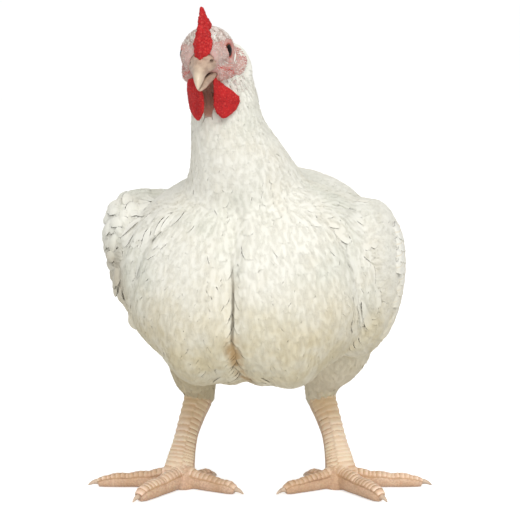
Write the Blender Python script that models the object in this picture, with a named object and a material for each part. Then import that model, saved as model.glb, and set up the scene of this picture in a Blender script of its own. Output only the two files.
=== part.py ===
"""White broiler chicken, standing square to the viewer, as a still, life-size model.

The bird faces -Y, its left side is +X, +Z is up and it stands on z = 0. Every size is a real one,
written in millimetres and turned into metres by MM. The torso, neck and head are made whole and
parted by thin cuts, and each other piece is trimmed to the surface that it grows from.
"""

import math
import random

import bmesh
import bpy
import numpy as np
from mathutils import Matrix, Vector
from mathutils.bvhtree import BVHTree

MM = 0.001
GAP = 0.3 * MM
WELD = 0.005 * MM
CLEAR = 0.6
SIDES = {"left": 1, "right": -1}

# The legs stand square to a viewer who sees the body turned by this much.
STANCE_TURN = math.radians(10)

# Torso, front to rear: y, height of the widest line, half width, rise above it, drop below it.
TORSO_ROWS = (
    (-119, 168, 10, 14, 14),
    (-114, 168, 38, 36, 32),
    (-102, 170, 63, 60, 50),
    (-83, 172, 84, 77, 65),
    (-58, 172, 97, 84, 73),
    (-30, 172, 101, 87, 75),
    (0, 172, 101, 90, 74),
    (35, 177, 95, 83, 75),
    (70, 185, 85, 70, 68),
    (100, 194, 72, 55, 56),
    (125, 202, 55, 41, 44),
    (144, 208, 37, 29, 31),
    (157, 214, 18, 15, 17),
)
# How square the back and how wedge-shaped the belly is across: 2 is an oval.
BACK_SQUARE = 2.4
BELLY_SQUARE = 1.85
# Each side of the breast muscle, and the bulge of the upper thigh under the flank.
BREAST_CENTRE = (33, -58, 158)
BREAST_RADII = (36, 56, 59)
HAUNCH_CENTRE = (52, 48, 142)
HAUNCH_RADII = (34, 50, 42)
FURROW_DEPTH = 7 * MM
FURROW_WIDTH = 5.5 * MM
FURROW_TOP = 262 * MM
BODY_HEART = Vector((0, 0, 165)) * MM

# Neck, from inside the torso to inside the head: x, y, z, half width, front depth, back depth.
NECK_ROWS = (
    (0, -34, 200, 62, 54, 54),
    (-1, -52, 232, 52, 48, 50),
    (-3, -72, 262, 38, 36, 40),
    (-8, -86, 290, 27.5, 27, 31),
    (-9.5, -92, 314, 23.5, 23, 26),
    (-10, -96, 336, 18.6, 18, 20),
)
NECK_BASE = Vector((-2, -66, 250)) * MM
NECK_BASE_NORMAL = Vector((0, -0.5, 0.87))
NECK_TOP = Vector((-8, -92, 312)) * MM
NECK_TOP_NORMAL = Vector((-0.05, -0.20, 0.97))

# Head: the point between the eyes, and how the head is turned, bowed and tilted.
EYES_MIDDLE = Vector((-17.8, -115, 345.4)) * MM
HEAD_TURN = math.radians(1)
HEAD_BOW = math.radians(15.5)
HEAD_TILT = math.radians(-6)
# Forms of the head in its own frame: forward, side, up, then the radii.
HEAD_FORMS = (
    ((-8, 0, 0), (21, 18.4, 16.5)),
    ((3, 0, -1), (16, 16.6, 12)),
    ((-2, 0, -13), (18, 19.6, 13)),
    ((-12, 0, -24), (16, 17, 15)),
    ((13, 0, -5), (8, 9.6, 9.0)),
)
# The nape, in the bird's own frame.
NAPE_CENTRE = (-8, -92, 332)
NAPE_RADII = (18.6, 20, 22)
EYE_SIDE = 11.4
EYE_RADIUS = 7.0
LID_RADIUS = 6.0
EAR = (-14.5, -7.0)
EAR_RADIUS = 4.2

# Upper and lower bill: forward, height of the widest line, half width, rise, drop.
BEAK_UPPER_ROWS = (
    (9, -3.0, 8.6, 7.6, 4.6),
    (15, -3.2, 8.8, 7.6, 4.8),
    (21, -4.0, 7.8, 6.8, 4.8),
    (27, -5.4, 5.8, 5.8, 4.6),
    (33, -7.6, 4.2, 4.9, 4.6),
    (37.6, -10.0, 2.7, 3.8, 4.4),
    (40.6, -12.2, 1.3, 2.4, 3.2),
    (41.8, -14.2, 0.5, 0.9, 1.0),
)
BEAK_LOWER_ROWS = (
    (6, -12.4, 8.4, 3.6, 4.8),
    (13, -12.6, 8.2, 3.6, 4.6),
    (19, -13.4, 7.2, 3.6, 4.2),
    (25, -14.4, 5.6, 3.2, 3.5),
    (31, -15.6, 3.8, 2.6, 2.6),
    (35.4, -16.6, 1.9, 1.3, 1.5),
    (37, -17.0, 0.6, 0.4, 0.5),
)

# Comb: where each point stands (forward) and how high it reaches, and its blade.
COMB_POINTS = ((17, 15), (10, 22), (2.5, 27), (-5.5, 31.5), (-14, 21.5), (-21.5, 13.5))
COMB_FRONT = 22
COMB_BACK = -27.5
COMB_NOTCH = 0.56
COMB_BASE_THICK = 9.5
COMB_TIP_THICK = 1.5
COMB_ASIDE = 1.0

# Wattles: length, width and thickness, and how far the blades turn out.
WATTLE_LENGTH = 31 * MM
WATTLE_WIDTH = 20 * MM
WATTLE_THICK = 4.4 * MM
WATTLE_TURN = math.radians(54)
WATTLE_ROOT = (9, 9, -13.5)
# How far out each lobe swings at its middle and at its tip.
WATTLE_SWING = {"left": (4, 3), "right": (0, -4)}

# Drumstick, in the stance frame for the left leg: across, back, up, half width, fore and aft depth.
THIGH_ROWS = (
    (50.3, 68, 61, 11.5, 12, 11),
    (51, 64, 76, 14.5, 15.5, 15),
    (55, 55, 93, 20, 22, 22),
)
# Its upper end inside the flank, in the bird's own frame.
HIP_ROWS = (
    (57, 44, 114, 26, 30, 30),
    (58, 34, 134, 29, 34, 34),
    (57, 28, 150, 28, 34, 34),
)
# Shank from the foot up to the hock, in the stance frame.
SHANK_ROWS = (
    (66, 29.5, 9, 14, 11, 10.0),
    (64.6, 31, 17, 11.8, 9.6, 9.4),
    (63.2, 34.5, 24, 10.6, 8.8, 8.6),
    (61.4, 39, 32, 9.4, 8.4, 8.4),
    (59.0, 46, 42, 9.0, 8.6, 8.8),
    (55.0, 56, 54, 10.0, 9.6, 10.2),
    (51.0, 64, 65, 11.2, 11, 12),
    (49.6, 67, 73, 9, 9, 10),
)
FOOT_CENTRE = (62.4, 27)
FOOT_RADII = (12.3, 12.6, 15.8)
FOOT_RISE = 5
# Toes: bearing from straight ahead (outward is positive), length, root and tip radius, joints.
TOES = {
    "middle": (34, 57, 7.2, 6.3, 3),
    "outer": (90, 69, 6.4, 4.7, 4),
    "inner": (-60, 49, 6.4, 5.0, 2),
    "hind": (-140, 33, 5.2, 4.0, 1),
}
TOE_ROOT_INSET = 2
TOE_PRESS = 0.9
CLAW_LENGTH = 11
CLAW_RADIUS = 2.9

# Scutes: how many down the shank in each of its two rows and along each toe, and how far they rise.
SHANK_SCUTES = 7
TOE_SCUTES = {"middle": 6, "outer": 7, "inner": 6, "hind": 4}
SCUTE_RISE = 0.9 * MM
SCUTE_STEP = 0.004
SCUTE_MARGIN = 0.02

# Wing, front to rear, for the left side: y, x and z of the middle, half thickness, half height.
WING_ROWS = (
    (-76, 68, 184, 5, 14),
    (-68, 74, 181, 16, 36),
    (-48, 79, 178, 25, 53),
    (-20, 80, 177, 30, 60),
    (10, 80, 178, 30, 60),
    (42, 76, 182, 27, 54),
    (74, 68, 189, 22, 45),
    (104, 60, 196, 17, 34),
    (130, 51, 202, 12, 24),
    (160, 42, 207, 6, 14),
    (182, 36, 210, 2, 5),
)
# How each wing is held: out from the body, up, and how far its top leans inward.
WING_HOLD = {"left": (2, -1, -4), "right": (3, 5, -15)}

# The wing's core ends here and lies this far under the feathers, which go on to the tips.
WING_CORE_END = 112
WING_CORE_SINK = 3.4
# Wing feathers: root y and z, length and bearing above the horizontal of the lowest and the highest
# feather of a row, and how many there are. Coverts start ahead of the long feathers' roots.
PRIMARIES = ((50, 160), (62, 190), (106, 96), (21, 7), 4)
SECONDARIES = ((-20, 142), (22, 217), (104, 90), (16, 3), 7)
PRIMARY_WIDTH = 15
SECONDARY_WIDTH = 20
PRIMARY_SINK = -3.2
# Each row of coverts: how far ahead of the roots below it starts, its length, and how far outside it lies.
COVERTS = ((20, 45, 1.2), (38, 34, 2.4))
VANE_THICK = 0.8
VANE_TIP_THICK = 0.45
VANE_LEAN = 0.16
VANE_SINK = -0.9
ROOT_DIVE = 6
ROOT_DEPTH = 4.5

# Tail: a rump core, and on each side a fan of feathers that leans out from the middle like a tent.
TAIL_ROOT = Vector((0, 148, 214))
TAIL_CORE_SHIFT = Vector((0, -4, -9))
TAIL_CORE_RADII = (18, 27, 16)
TAIL_TENT = math.radians(50)
TAIL_SLOPE = math.radians(20)
TAIL_FEATHERS = 6
TAIL_LENGTHS = (82, 68)
TAIL_WIDTH = 21
TAIL_ROOT_STEP = 1.6
TAIL_SPREAD = -38
TAIL_COVERTS = 3
TAIL_COVERT_LENGTH = 46
TAIL_LAYER = 1.3

# Outline of a feather: how wide it is at each share of its length.
VANE_OUTLINE = ((0.0, 0.5), (0.3, 0.95), (0.6, 1.0), (0.86, 0.84), (1.0, 0.3))
LONG_VANE = 60

BODY_VOXEL = 4 * MM
HEAD_VOXEL = 1.2 * MM
TORSO_TRIANGLES = 2150
HEAD_TRIANGLES = 2000
NOSTRIL = (19.5, -1.6)
NOSTRIL_SIDE = 6.9
NOSTRIL_RADII = (1.1, 2.4, 0.9)
MOUTH_CORNER = (2, 12)
MOUTH_LINE = (-12.6, 0.16)

FINISHES = {
    "plumage": ((0.87, 0.86, 0.80), 0.9),
    "face": ((0.86, 0.62, 0.56), 0.6),
    "comb": ((0.72, 0.03, 0.04), 0.5),
    "beak": ((0.80, 0.68, 0.52), 0.35),
    "eye": ((0.10, 0.05, 0.03), 0.05),
    "scale": ((0.85, 0.66, 0.50), 0.5),
    "claw": ((0.62, 0.50, 0.40), 0.4),
}


def clear_scene():
    for obj in list(bpy.data.objects):
        bpy.data.objects.remove(obj)


def finish(name):
    """The Principled material of one finish, made once."""
    found = bpy.data.materials.get(name)
    if found:
        return found
    colour, roughness = FINISHES[name]
    material = bpy.data.materials.new(name)
    material.use_nodes = True
    shader = material.node_tree.nodes["Principled BSDF"]
    shader.inputs["Base Color"].default_value = (*colour, 1)
    shader.inputs["Roughness"].default_value = roughness
    shader.inputs["Metallic"].default_value = 0
    return material


def resampled(rows, count):
    """Rows of numbers read from a smooth curve through the given rows."""
    rows = np.array(rows, float)
    padded = np.vstack([2 * rows[0] - rows[1], rows, 2 * rows[-1] - rows[-2]])
    places = np.linspace(0, len(rows) - 1, count)
    index = np.minimum(places.astype(int), len(rows) - 2)
    t = (places - index)[:, None]
    a, b, c, d = (padded[index + k] for k in range(4))
    return 0.5 * (2 * b + (c - a) * t + (2 * a - 5 * b + 4 * c - d) * t**2 + (3 * b - a - 3 * c + d) * t**3)


def unit(vectors):
    vectors = np.asarray(vectors, float)
    return vectors / np.linalg.norm(vectors, axis=-1, keepdims=True)


def oval(centre, across, upward, half_width, rise, drop, sides, squares=(2, 2)):
    """One closed ring: half_width each way across, rise above its centre and drop below.

    Its upper and lower halves are superellipses of the two powers in squares.
    """
    angle = np.arange(sides) * 2 * math.pi / sides
    cosine, sine = np.cos(angle), np.sin(angle)
    power = 2 / np.where(sine > 0, squares[0], squares[1])
    height = np.where(sine > 0, rise, drop) * np.sign(sine) * np.abs(sine) ** power
    width = half_width * np.sign(cosine) * np.abs(cosine) ** power
    return centre + np.outer(width, across) + np.outer(height, upward)


def tube(rings):
    """A closed solid (points, triangles) through rings of equal count, with a fan over each end."""
    rings = np.asarray(rings, float)
    count, sides = rings.shape[:2]
    points = np.vstack([rings.reshape(-1, 3), rings[0].mean(0), rings[-1].mean(0)])
    faces = []
    for k in range(count - 1):
        for j in range(sides):
            a, b = k * sides + j, k * sides + (j + 1) % sides
            c, d = a + sides, b + sides
            faces += [(a, b, d), (a, d, c)]
    first, last = count * sides, count * sides + 1
    top = (count - 1) * sides
    for j in range(sides):
        after = (j + 1) % sides
        faces += [(first, after, j), (last, top + j, top + after)]
    return facing_out(points, np.array(faces))


def facing_out(points, faces):
    corners = points[faces]
    volume = np.einsum("ij,ij->i", corners[:, 0], np.cross(corners[:, 1], corners[:, 2])).sum()
    return points, faces if volume > 0 else faces[:, ::-1]


def along_y(rows, count, sides, squares):
    """A solid through upright rings: rows of y, z, half width, rise, drop, in millimetres."""
    rings = [
        oval(np.array([0, y, z]), (1, 0, 0), (0, 0, 1), w, rise, drop, sides, squares)
        for y, z, w, rise, drop in resampled(rows, count)
    ]
    return tube(np.array(rings) * MM)


def spine_rings(rows, count, sides, across):
    """Rings square to a spine: rows of x, y, z, half width, front and back depth, in millimetres."""
    return rings_on(resampled(rows, count), sides, across)


def rings_on(rows, sides, across):
    """Rings square to a spine, one for each row."""
    path = rows[:, :3]
    along = unit(np.gradient(path, axis=0))
    across = unit(np.asarray(across, float) - along * (along @ np.asarray(across, float))[:, None])
    front = np.cross(across, along)
    rings = [
        oval(path[k], across[k], front[k], *rows[k, 3:6], sides) for k in range(len(rows))
    ]
    return np.array(rings) * MM


def ellipsoid(centre, radii, segments=20, rings=12):
    """A closed ellipsoid in millimetres."""
    turn = np.linspace(0, math.pi, rings + 1)[1:-1]
    loops = [
        oval(
            np.array(centre) + (0, 0, -radii[2] * math.cos(t)),
            (1, 0, 0),
            (0, 1, 0),
            radii[0] * math.sin(t),
            radii[1] * math.sin(t),
            radii[1] * math.sin(t),
            segments,
        )
        for t in turn
    ]
    points, faces = tube(loops)
    points[-2] = np.array(centre) - (0, 0, radii[2])
    points[-1] = np.array(centre) + (0, 0, radii[2])
    return points * MM, faces


def placed(solid, matrix):
    """The solid moved by a 4 by 4 matrix."""
    points, faces = solid
    matrix = np.array(matrix)
    return facing_out(points @ matrix[:3, :3].T + matrix[:3, 3], faces)


def mirrored(solid, side):
    """The left solid for side 1, and its mirror image across x = 0 for side -1."""
    points, faces = solid
    return facing_out(points * (side, 1, 1), faces)


def head_frame():
    """From the head's own frame, with side, -forward and up as x, y and z, to the bird's."""
    turned = Matrix.Rotation(HEAD_TURN, 4, "Z") @ Matrix.Rotation(HEAD_BOW, 4, "X")
    return Matrix.Translation(EYES_MIDDLE) @ turned @ Matrix.Rotation(HEAD_TILT, 4, "Y")


def head_point(forward, side, up):
    return head_frame() @ (Vector((side, -forward, up)) * MM)


def stance_frame():
    """From the stance's frame, square to the viewer, to the bird's."""
    return Matrix.Rotation(STANCE_TURN, 4, "Z")


def make_object(name, solids, material=None):
    """One mesh object from one or more closed solids."""
    if isinstance(solids, tuple):
        solids = [solids]
    points, faces, base = [], [], 0
    for p, f in solids:
        points.append(p)
        faces.append(f + base)
        base += len(p)
    mesh = bpy.data.meshes.new(name)
    mesh.from_pydata(np.vstack(points).tolist(), [], np.vstack(faces).tolist())
    obj = bpy.data.objects.new(name, mesh)
    bpy.context.scene.collection.objects.link(obj)
    if material:
        mesh.materials.append(finish(material))
    return obj


def apply_modifiers(obj):
    bpy.context.view_layer.update()
    evaluated = obj.evaluated_get(bpy.context.evaluated_depsgraph_get())
    mesh = bpy.data.meshes.new_from_object(evaluated)
    obj.modifiers.clear()
    obj.data = mesh
    mesh.name = obj.name


def solid_of(obj):
    """The object's mesh as (points, triangles)."""
    mesh = obj.data
    mesh.calc_loop_triangles()
    points = np.empty(len(mesh.vertices) * 3)
    mesh.vertices.foreach_get("co", points)
    faces = np.empty(len(mesh.loop_triangles) * 3, int)
    mesh.loop_triangles.foreach_get("vertices", faces)
    return points.reshape(-1, 3), faces.reshape(-1, 3)


def set_solid(obj, points, faces):
    materials = list(obj.data.materials)
    mesh = bpy.data.meshes.new(obj.name)
    mesh.from_pydata(points.tolist(), [], faces.tolist())
    for material in materials:
        mesh.materials.append(material)
    obj.data = mesh


def welded(obj):
    """Merges points that a Boolean left almost on each other."""
    mesh = bmesh.new()
    mesh.from_mesh(obj.data)
    bmesh.ops.remove_doubles(mesh, verts=mesh.verts, dist=WELD)
    mesh.to_mesh(obj.data)
    mesh.free()


def largest_part(obj):
    """Keeps only the largest closed surface of the object."""
    welded(obj)
    points, faces = solid_of(obj)
    edges = np.sort(np.stack([faces, np.roll(faces, -1, axis=1)], axis=2), axis=2).reshape(-1, 2)
    edge_of = np.unique(edges, axis=0, return_inverse=True)[1].reshape(-1, 3)
    labels = np.arange(len(faces))
    while True:
        lowest = np.full(edge_of.max() + 1, len(faces))
        for corner in range(3):
            np.minimum.at(lowest, edge_of[:, corner], labels)
        new = np.minimum(labels, lowest[edge_of].min(axis=1))
        if (new == labels).all():
            break
        labels = new[new]
    corners = points[faces]
    volumes = np.einsum("ij,ij->i", corners[:, 0], np.cross(corners[:, 1], corners[:, 2]))
    names = np.unique(labels)
    best = max(names, key=lambda n: volumes[labels == n].sum())
    kept = faces[labels == best]
    used, index = np.unique(kept, return_inverse=True)
    set_solid(obj, points[used], index.reshape(-1, 3))


def fused(name, solids, voxel, smoothing, material):
    """Overlapping solids as one closed skin, with its creases softened."""
    obj = make_object(name, solids, material)
    remesh = obj.modifiers.new("fuse", "REMESH")
    remesh.mode = "VOXEL"
    remesh.voxel_size = voxel
    smooth = obj.modifiers.new("soften", "SMOOTH")
    smooth.factor = 0.5
    smooth.iterations = smoothing
    apply_modifiers(obj)
    obj.data.materials.clear()
    obj.data.materials.append(finish(material))
    return obj


def thinned(obj, triangles):
    """Fewer triangles, most of them kept where the form bends."""
    now = len(solid_of(obj)[1])
    decimate = obj.modifiers.new("thin", "DECIMATE")
    decimate.ratio = min(1.0, triangles / now)
    decimate.use_collapse_triangulate = True
    apply_modifiers(obj)


def boolean(obj, other, operation, solver="MANIFOLD"):
    modifier = obj.modifiers.new(operation.lower(), "BOOLEAN")
    modifier.operation = operation
    modifier.object = other
    modifier.solver = solver
    apply_modifiers(obj)


def joined(obj, solids, solver="MANIFOLD"):
    """Unites the object with many closed solids, which may cross each other."""
    collection = bpy.data.collections.new("pieces")
    bpy.context.scene.collection.children.link(collection)
    for k, solid in enumerate(solids):
        piece = make_object(f"piece{k}", solid)
        bpy.context.scene.collection.objects.unlink(piece)
        collection.objects.link(piece)
    modifier = obj.modifiers.new("join", "BOOLEAN")
    modifier.operation = "UNION"
    modifier.operand_type = "COLLECTION"
    modifier.collection = collection
    modifier.solver = solver
    apply_modifiers(obj)
    for piece in list(collection.objects):
        bpy.data.objects.remove(piece)
    bpy.data.collections.remove(collection)
    largest_part(obj)


def carve(obj, *neighbours, gap=GAP):
    """Trims the object to its neighbours, objects or solids, with the gap that touching pieces keep."""
    for neighbour in neighbours:
        points, faces = neighbour if isinstance(neighbour, tuple) else solid_of(neighbour)
        corners = points[faces]
        face_normals = np.cross(corners[:, 1] - corners[:, 0], corners[:, 2] - corners[:, 0])
        normals = np.zeros_like(points)
        for corner in range(3):
            np.add.at(normals, faces[:, corner], face_normals)
        length = np.linalg.norm(normals, axis=1, keepdims=True)
        grown = points + normals / np.maximum(length, 1e-12) * gap
        cutter = make_object("cutter", (grown, faces))
        boolean(obj, cutter, "DIFFERENCE")
        bpy.data.objects.remove(cutter)
    largest_part(obj)


def slab(point, normal, reach=0.6):
    """A large box whose lower face passes through the point, on the side that the normal points to."""
    turn = normal.normalized().to_track_quat("Z", "Y").to_matrix().to_4x4()
    corners = reach / 2 * np.array([(-1, -1), (1, -1), (1, 1), (-1, 1)])
    rings = np.array([np.column_stack([corners, np.full(4, height)]) for height in (0, reach)])
    return make_object("slab", placed(tube(rings), Matrix.Translation(point) @ turn))


def keep_side(obj, point, normal):
    """Keeps what lies on the side of the plane that the normal points to, half a gap off it."""
    normal = normal.normalized()
    cutter = slab(point + normal * GAP / 2, normal)
    boolean(obj, cutter, "INTERSECT")
    bpy.data.objects.remove(cutter)
    largest_part(obj)


def furrow(points):
    """The cleft down the middle of the breast, as far as the neck."""
    towards = unit(np.array(BODY_HEART) - points)
    across = np.exp(-((points[:, 0] / FURROW_WIDTH) ** 2))
    forward = np.clip((-points[:, 1] / MM - 5) / 35, 0, 1)
    below_neck = np.clip((FURROW_TOP - points[:, 2]) / (30 * MM), 0, 1)
    return points + towards * (FURROW_DEPTH * across * forward * below_neck)[:, None]


def body_solids():
    solids = [along_y(TORSO_ROWS, 28, 36, (BACK_SQUARE, BELLY_SQUARE))]
    for side in SIDES.values():
        solids.append(mirrored(ellipsoid(BREAST_CENTRE, BREAST_RADII), side))
        solids.append(mirrored(ellipsoid(HAUNCH_CENTRE, HAUNCH_RADII), side))
    return solids


def neck_solid():
    return tube(spine_rings(NECK_ROWS, 20, 28, (1, 0, 0)))


def head_solids():
    solids = [ellipsoid(NAPE_CENTRE, NAPE_RADII)]
    for (forward, side, up), radii in HEAD_FORMS:
        form = ellipsoid((side, -forward, up), (radii[1], radii[0], radii[2]))
        solids.append(placed(form, head_frame()))
    return solids


def make_torso_and_neck():
    """Torso and neck from one skin, parted by a thin cut at the base of the neck."""
    whole = fused("torso", [*body_solids(), neck_solid(), *head_solids()], BODY_VOXEL, 6, "plumage")
    points, faces = solid_of(whole)
    set_solid(whole, furrow(points), faces)
    thinned(whole, TORSO_TRIANGLES)
    neck = whole.copy()
    neck.data = whole.data.copy()
    neck.name = "neck"
    bpy.context.scene.collection.objects.link(neck)
    keep_side(neck, NECK_BASE, NECK_BASE_NORMAL)
    keep_side(neck, NECK_TOP, -NECK_TOP_NORMAL)
    keep_side(whole, NECK_BASE, -NECK_BASE_NORMAL)
    return whole, neck


def face_details(points):
    """Lids round the eyes and the cup of each ear, raised and sunk in the skin of the head."""
    inverse = np.array(head_frame().inverted())
    local = (points @ inverse[:3, :3].T + inverse[:3, 3]) / MM
    side, forward, up = local[:, 0], -local[:, 1], local[:, 2]
    on_flank = np.clip((np.abs(side) - 8) / 4, 0, 1)
    outward = np.sign(side)
    from_eye = np.hypot(forward, up)
    lids = 1.3 * np.exp(-(((from_eye - LID_RADIUS) / 1.6) ** 2))
    from_ear = np.hypot(forward - EAR[0], up - EAR[1])
    rim = 1.0 * np.exp(-(((from_ear - EAR_RADIUS) / 1.3) ** 2))
    cup = -2.0 * np.exp(-((from_ear / 2.4) ** 2))
    mouth = MOUTH_LINE[0] - MOUTH_LINE[1] * (forward - MOUTH_CORNER[0])
    along = np.clip((forward - MOUTH_CORNER[0]) / 2, 0, 1) * np.clip((MOUTH_CORNER[1] - forward) / 2, 0, 1)
    above = np.abs(up - mouth)
    lips = along * (np.exp(-((above - 2) ** 2)) - 1.5 * np.exp(-((above / 0.9) ** 2)))
    shift = (lids + rim + cup + lips) * on_flank * outward
    frame = np.array(head_frame())
    return points + np.outer(shift, frame[:3, 0]) * MM


def make_head():
    head = fused("head", [*head_solids(), neck_solid()], HEAD_VOXEL, 8, "face")
    points, faces = solid_of(head)
    set_solid(head, face_details(points), faces)
    thinned(head, HEAD_TRIANGLES)
    keep_side(head, NECK_TOP, NECK_TOP_NORMAL)
    return head


def make_eyes():
    eyes = []
    for name, side in SIDES.items():
        ball = ellipsoid((side * EYE_SIDE, 0, 0), (EYE_RADIUS,) * 3, 12, 8)
        eyes.append(make_object(f"eye_{name}", placed(ball, head_frame()), "eye"))
    return eyes


def beak_half(name, rows):
    """One half of the bill, square enough at its edges to close on the other half."""
    rings = [
        oval(np.array([0, -forward, up]), (1, 0, 0), (0, 0, 1), w, rise, drop, 14)
        for forward, up, w, rise, drop in resampled(rows, 13)
    ]
    return make_object(name, placed(tube(np.array(rings) * MM), head_frame()), "beak")


def cut_nostrils(upper):
    """A slit on each side of the upper bill, near its root."""
    forward, up = NOSTRIL
    for side in SIDES.values():
        pit = ellipsoid((side * NOSTRIL_SIDE, -forward, up), NOSTRIL_RADII, 7, 5)
        cutter = make_object("pit", placed(pit, head_frame()))
        boolean(upper, cutter, "DIFFERENCE")
        bpy.data.objects.remove(cutter)
        largest_part(upper)


def comb_height(forward):
    """Height of the comb's edge: the highest of its points' curved sides, at each place."""
    heights = np.zeros_like(forward)
    for place, peak in COMB_POINTS:
        reach = 8.5
        fall = np.abs(forward - place) / reach
        heights = np.maximum(heights, peak * (1 - COMB_NOTCH * fall**1.3))
    ends = np.clip((COMB_FRONT - forward) / 3, 0.0, 1) * np.clip((forward - COMB_BACK) / 3, 0.0, 1)
    return 3 + (heights - 3) * np.sqrt(ends)


def make_comb():
    """A single upright comb: a blade on the middle of the head, thick at its base."""
    stations = np.linspace(COMB_FRONT, COMB_BACK, 31)
    rings = []
    for forward, top in zip(stations, comb_height(stations)):
        share = np.clip(min(COMB_FRONT - forward, forward - COMB_BACK) / 4, 0.15, 1)
        base, tip = COMB_BASE_THICK / 2 * share, COMB_TIP_THICK / 2 * share
        bottom = 4 if forward < 8 else 4 - (forward - 8) * 0.4
        middle = (bottom + top) / 2 + 2
        edge = ((base, bottom), (base * 0.9, middle - 5), (tip, top))
        ring = [(COMB_ASIDE + half, -forward, up) for half, up in edge]
        ring += [(COMB_ASIDE - half, -forward, up) for half, up in reversed(edge)]
        rings.append(ring)
    return make_object("comb", placed(tube(np.array(rings) * MM), head_frame()), "comb")


def make_wattle(name, side):
    """A hanging lobe, widest below its middle, turned out from the throat."""
    root = head_point(WATTLE_ROOT[0], side * WATTLE_ROOT[1], WATTLE_ROOT[2])
    across = np.array([side * math.sin(WATTLE_TURN), math.cos(WATTLE_TURN), 0])
    outward = np.array([math.cos(WATTLE_TURN), -side * math.sin(WATTLE_TURN), 0])
    middle_swing, tip_swing = WATTLE_SWING[name[7:]]
    rings = []
    for t in np.linspace(0.02, 0.985, 11):
        swell = math.sin(math.pi * t**1.25) ** 0.62
        width = WATTLE_WIDTH / 2 * max(0.34 * (1 - t), swell)
        thick = WATTLE_THICK / 2 * max(0.25, swell)
        swing = middle_swing * math.sin(math.pi * t) + tip_swing * t
        centre = np.array(root) + across * swing * MM - np.array([0, 0, WATTLE_LENGTH * t])
        rings.append(oval(centre, across, outward, width, thick, thick, 10))
    return make_object(name, tube(rings), "comb")


def thigh_solid(side):
    rows = []
    for x, y, *rest in THIGH_ROWS:
        place = stance_frame() @ Vector((side * x, y, 0))
        rows.append((place.x, place.y, *rest))
    rows += [(side * x, y, *rest) for x, y, *rest in HIP_ROWS]
    return tube(spine_rings(rows, 11, 18, (1, 0, 0)))


def scuted(rows, sides, across, scute_rows, count):
    """Rings along a spine whose skin steps out into overlapping plates.

    Each row of scutes is (phase, from angle, to angle): its plates begin that share of a plate
    later, and cover the sides whose angle lies in that range, with 90 degrees at the front.
    """
    fine = resampled(rows, 20 * count + 1)
    stops = {round((k + phase) / count, 5) for phase, _, _ in scute_rows for k in range(count + 1)}
    stops = [stop for stop in sorted(stops) if SCUTE_MARGIN < stop < 1 - SCUTE_MARGIN]
    places = [0.0] + [stop + step for stop in stops for step in (-SCUTE_STEP, SCUTE_STEP)] + [1.0]
    shares = np.linspace(0, 1, len(fine))
    picked = np.column_stack([np.interp(places, shares, column) for column in fine.T])
    rings = rings_on(picked, sides, across)
    angle = np.degrees(np.arange(sides) * 2 * math.pi / sides)
    for k, place in enumerate(places):
        rise = np.zeros(sides)
        for phase, low, high in scute_rows:
            along = (place * count - phase) % 1.0
            covered = (angle >= low) & (angle <= high)
            rise = np.maximum(rise, covered * along)
        rings[k] += unit(rings[k] - rings[k].mean(0)) * (rise * SCUTE_RISE)[:, None]
    return rings


def make_shank(name, side):
    """The shank, with two staggered rows of large scutes down its front."""
    scute_rows = ((0.0, 25, 95), (0.5, 85, 155))
    rings = scuted(SHANK_ROWS[::-1], 10, (-1, 0, 0), scute_rows, SHANK_SCUTES)
    return make_object(name, placed(mirrored(tube(rings), side), stance_frame()), "scale")


def toe_rows(bearing, length, root, tip, joints):
    """A toe lying on the floor: x, y, z, half width, rise and drop, in the stance frame."""
    angle = math.radians(bearing)
    heading = np.array([math.sin(angle), -math.cos(angle)])
    rows = []
    for t in np.linspace(0, 1, 9):
        radius = root + (tip - root) * t + 0.55 * abs(math.cos(math.pi * joints * t))
        if t > 0.95:
            radius *= 0.8
        at = np.array(FOOT_CENTRE) + heading * (TOE_ROOT_INSET + (length - TOE_ROOT_INSET) * t)
        rise = radius + 6 * (1 - t) ** 3
        rows.append((*at, radius * 0.82, radius, rise, radius + TOE_PRESS))
    return rows, heading


def foot_solids(side, scutes=None):
    """The ball of the foot and its four toes, which reach a little under the floor."""
    points, faces = ellipsoid((*FOOT_CENTRE, FOOT_RISE), FOOT_RADII, 12, 8)
    points[:, 2] = np.maximum(points[:, 2], -2 * MM)
    solids = [(points, faces)]
    for toe, sizes in TOES.items():
        rows, heading = toe_rows(*sizes)
        across = (heading[1], -heading[0], 0)
        if scutes:
            rings = scuted(rows, 8, across, ((0.0, 30, 150),), scutes[toe])
        else:
            rings = spine_rings(rows, 9, 8, across)
        solids.append(tube(rings))
    return [placed(mirrored(solid, side), stance_frame()) for solid in solids]


def make_foot(name, side):
    """The foot in one piece, with a claw of its own at the end of each toe."""
    ball, *toes = foot_solids(side, TOE_SCUTES)
    foot = make_object(name, ball, "scale")
    joined(foot, toes)
    keep_side(foot, Vector((0, 0, -GAP / 2)), Vector((0, 0, 1)))
    for (toe, sizes), solid in zip(TOES.items(), toes):
        rows, heading = toe_rows(*sizes)
        claw = make_claw(f"claw_{toe}_{name[5:]}", rows[-1], heading, side)
        carve(claw, solid)


def make_claw(name, toe_end, heading, side):
    x, y, z, _, rise, _ = toe_end
    rows = []
    for t in np.linspace(0, 1, 6):
        radius = CLAW_RADIUS * (1 - t) ** 0.7 + 0.35
        reach = -2.5 + CLAW_LENGTH * t
        height = z + 0.5 + 0.8 * math.sin(math.pi * t) - 2.2 * t**2
        rows.append((x + heading[0] * reach, y + heading[1] * reach, height, radius * 0.8, radius, radius))
    across = (heading[1], -heading[0], 0)
    rings = spine_rings(rows, 5, 6, across)
    return make_object(name, placed(mirrored(tube(rings), side), stance_frame()), "claw")


def wing_rows():
    return np.array(resampled(WING_ROWS, 24))


def wing_slant(name):
    return math.tan(math.radians(WING_HOLD[name][2]))


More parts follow.
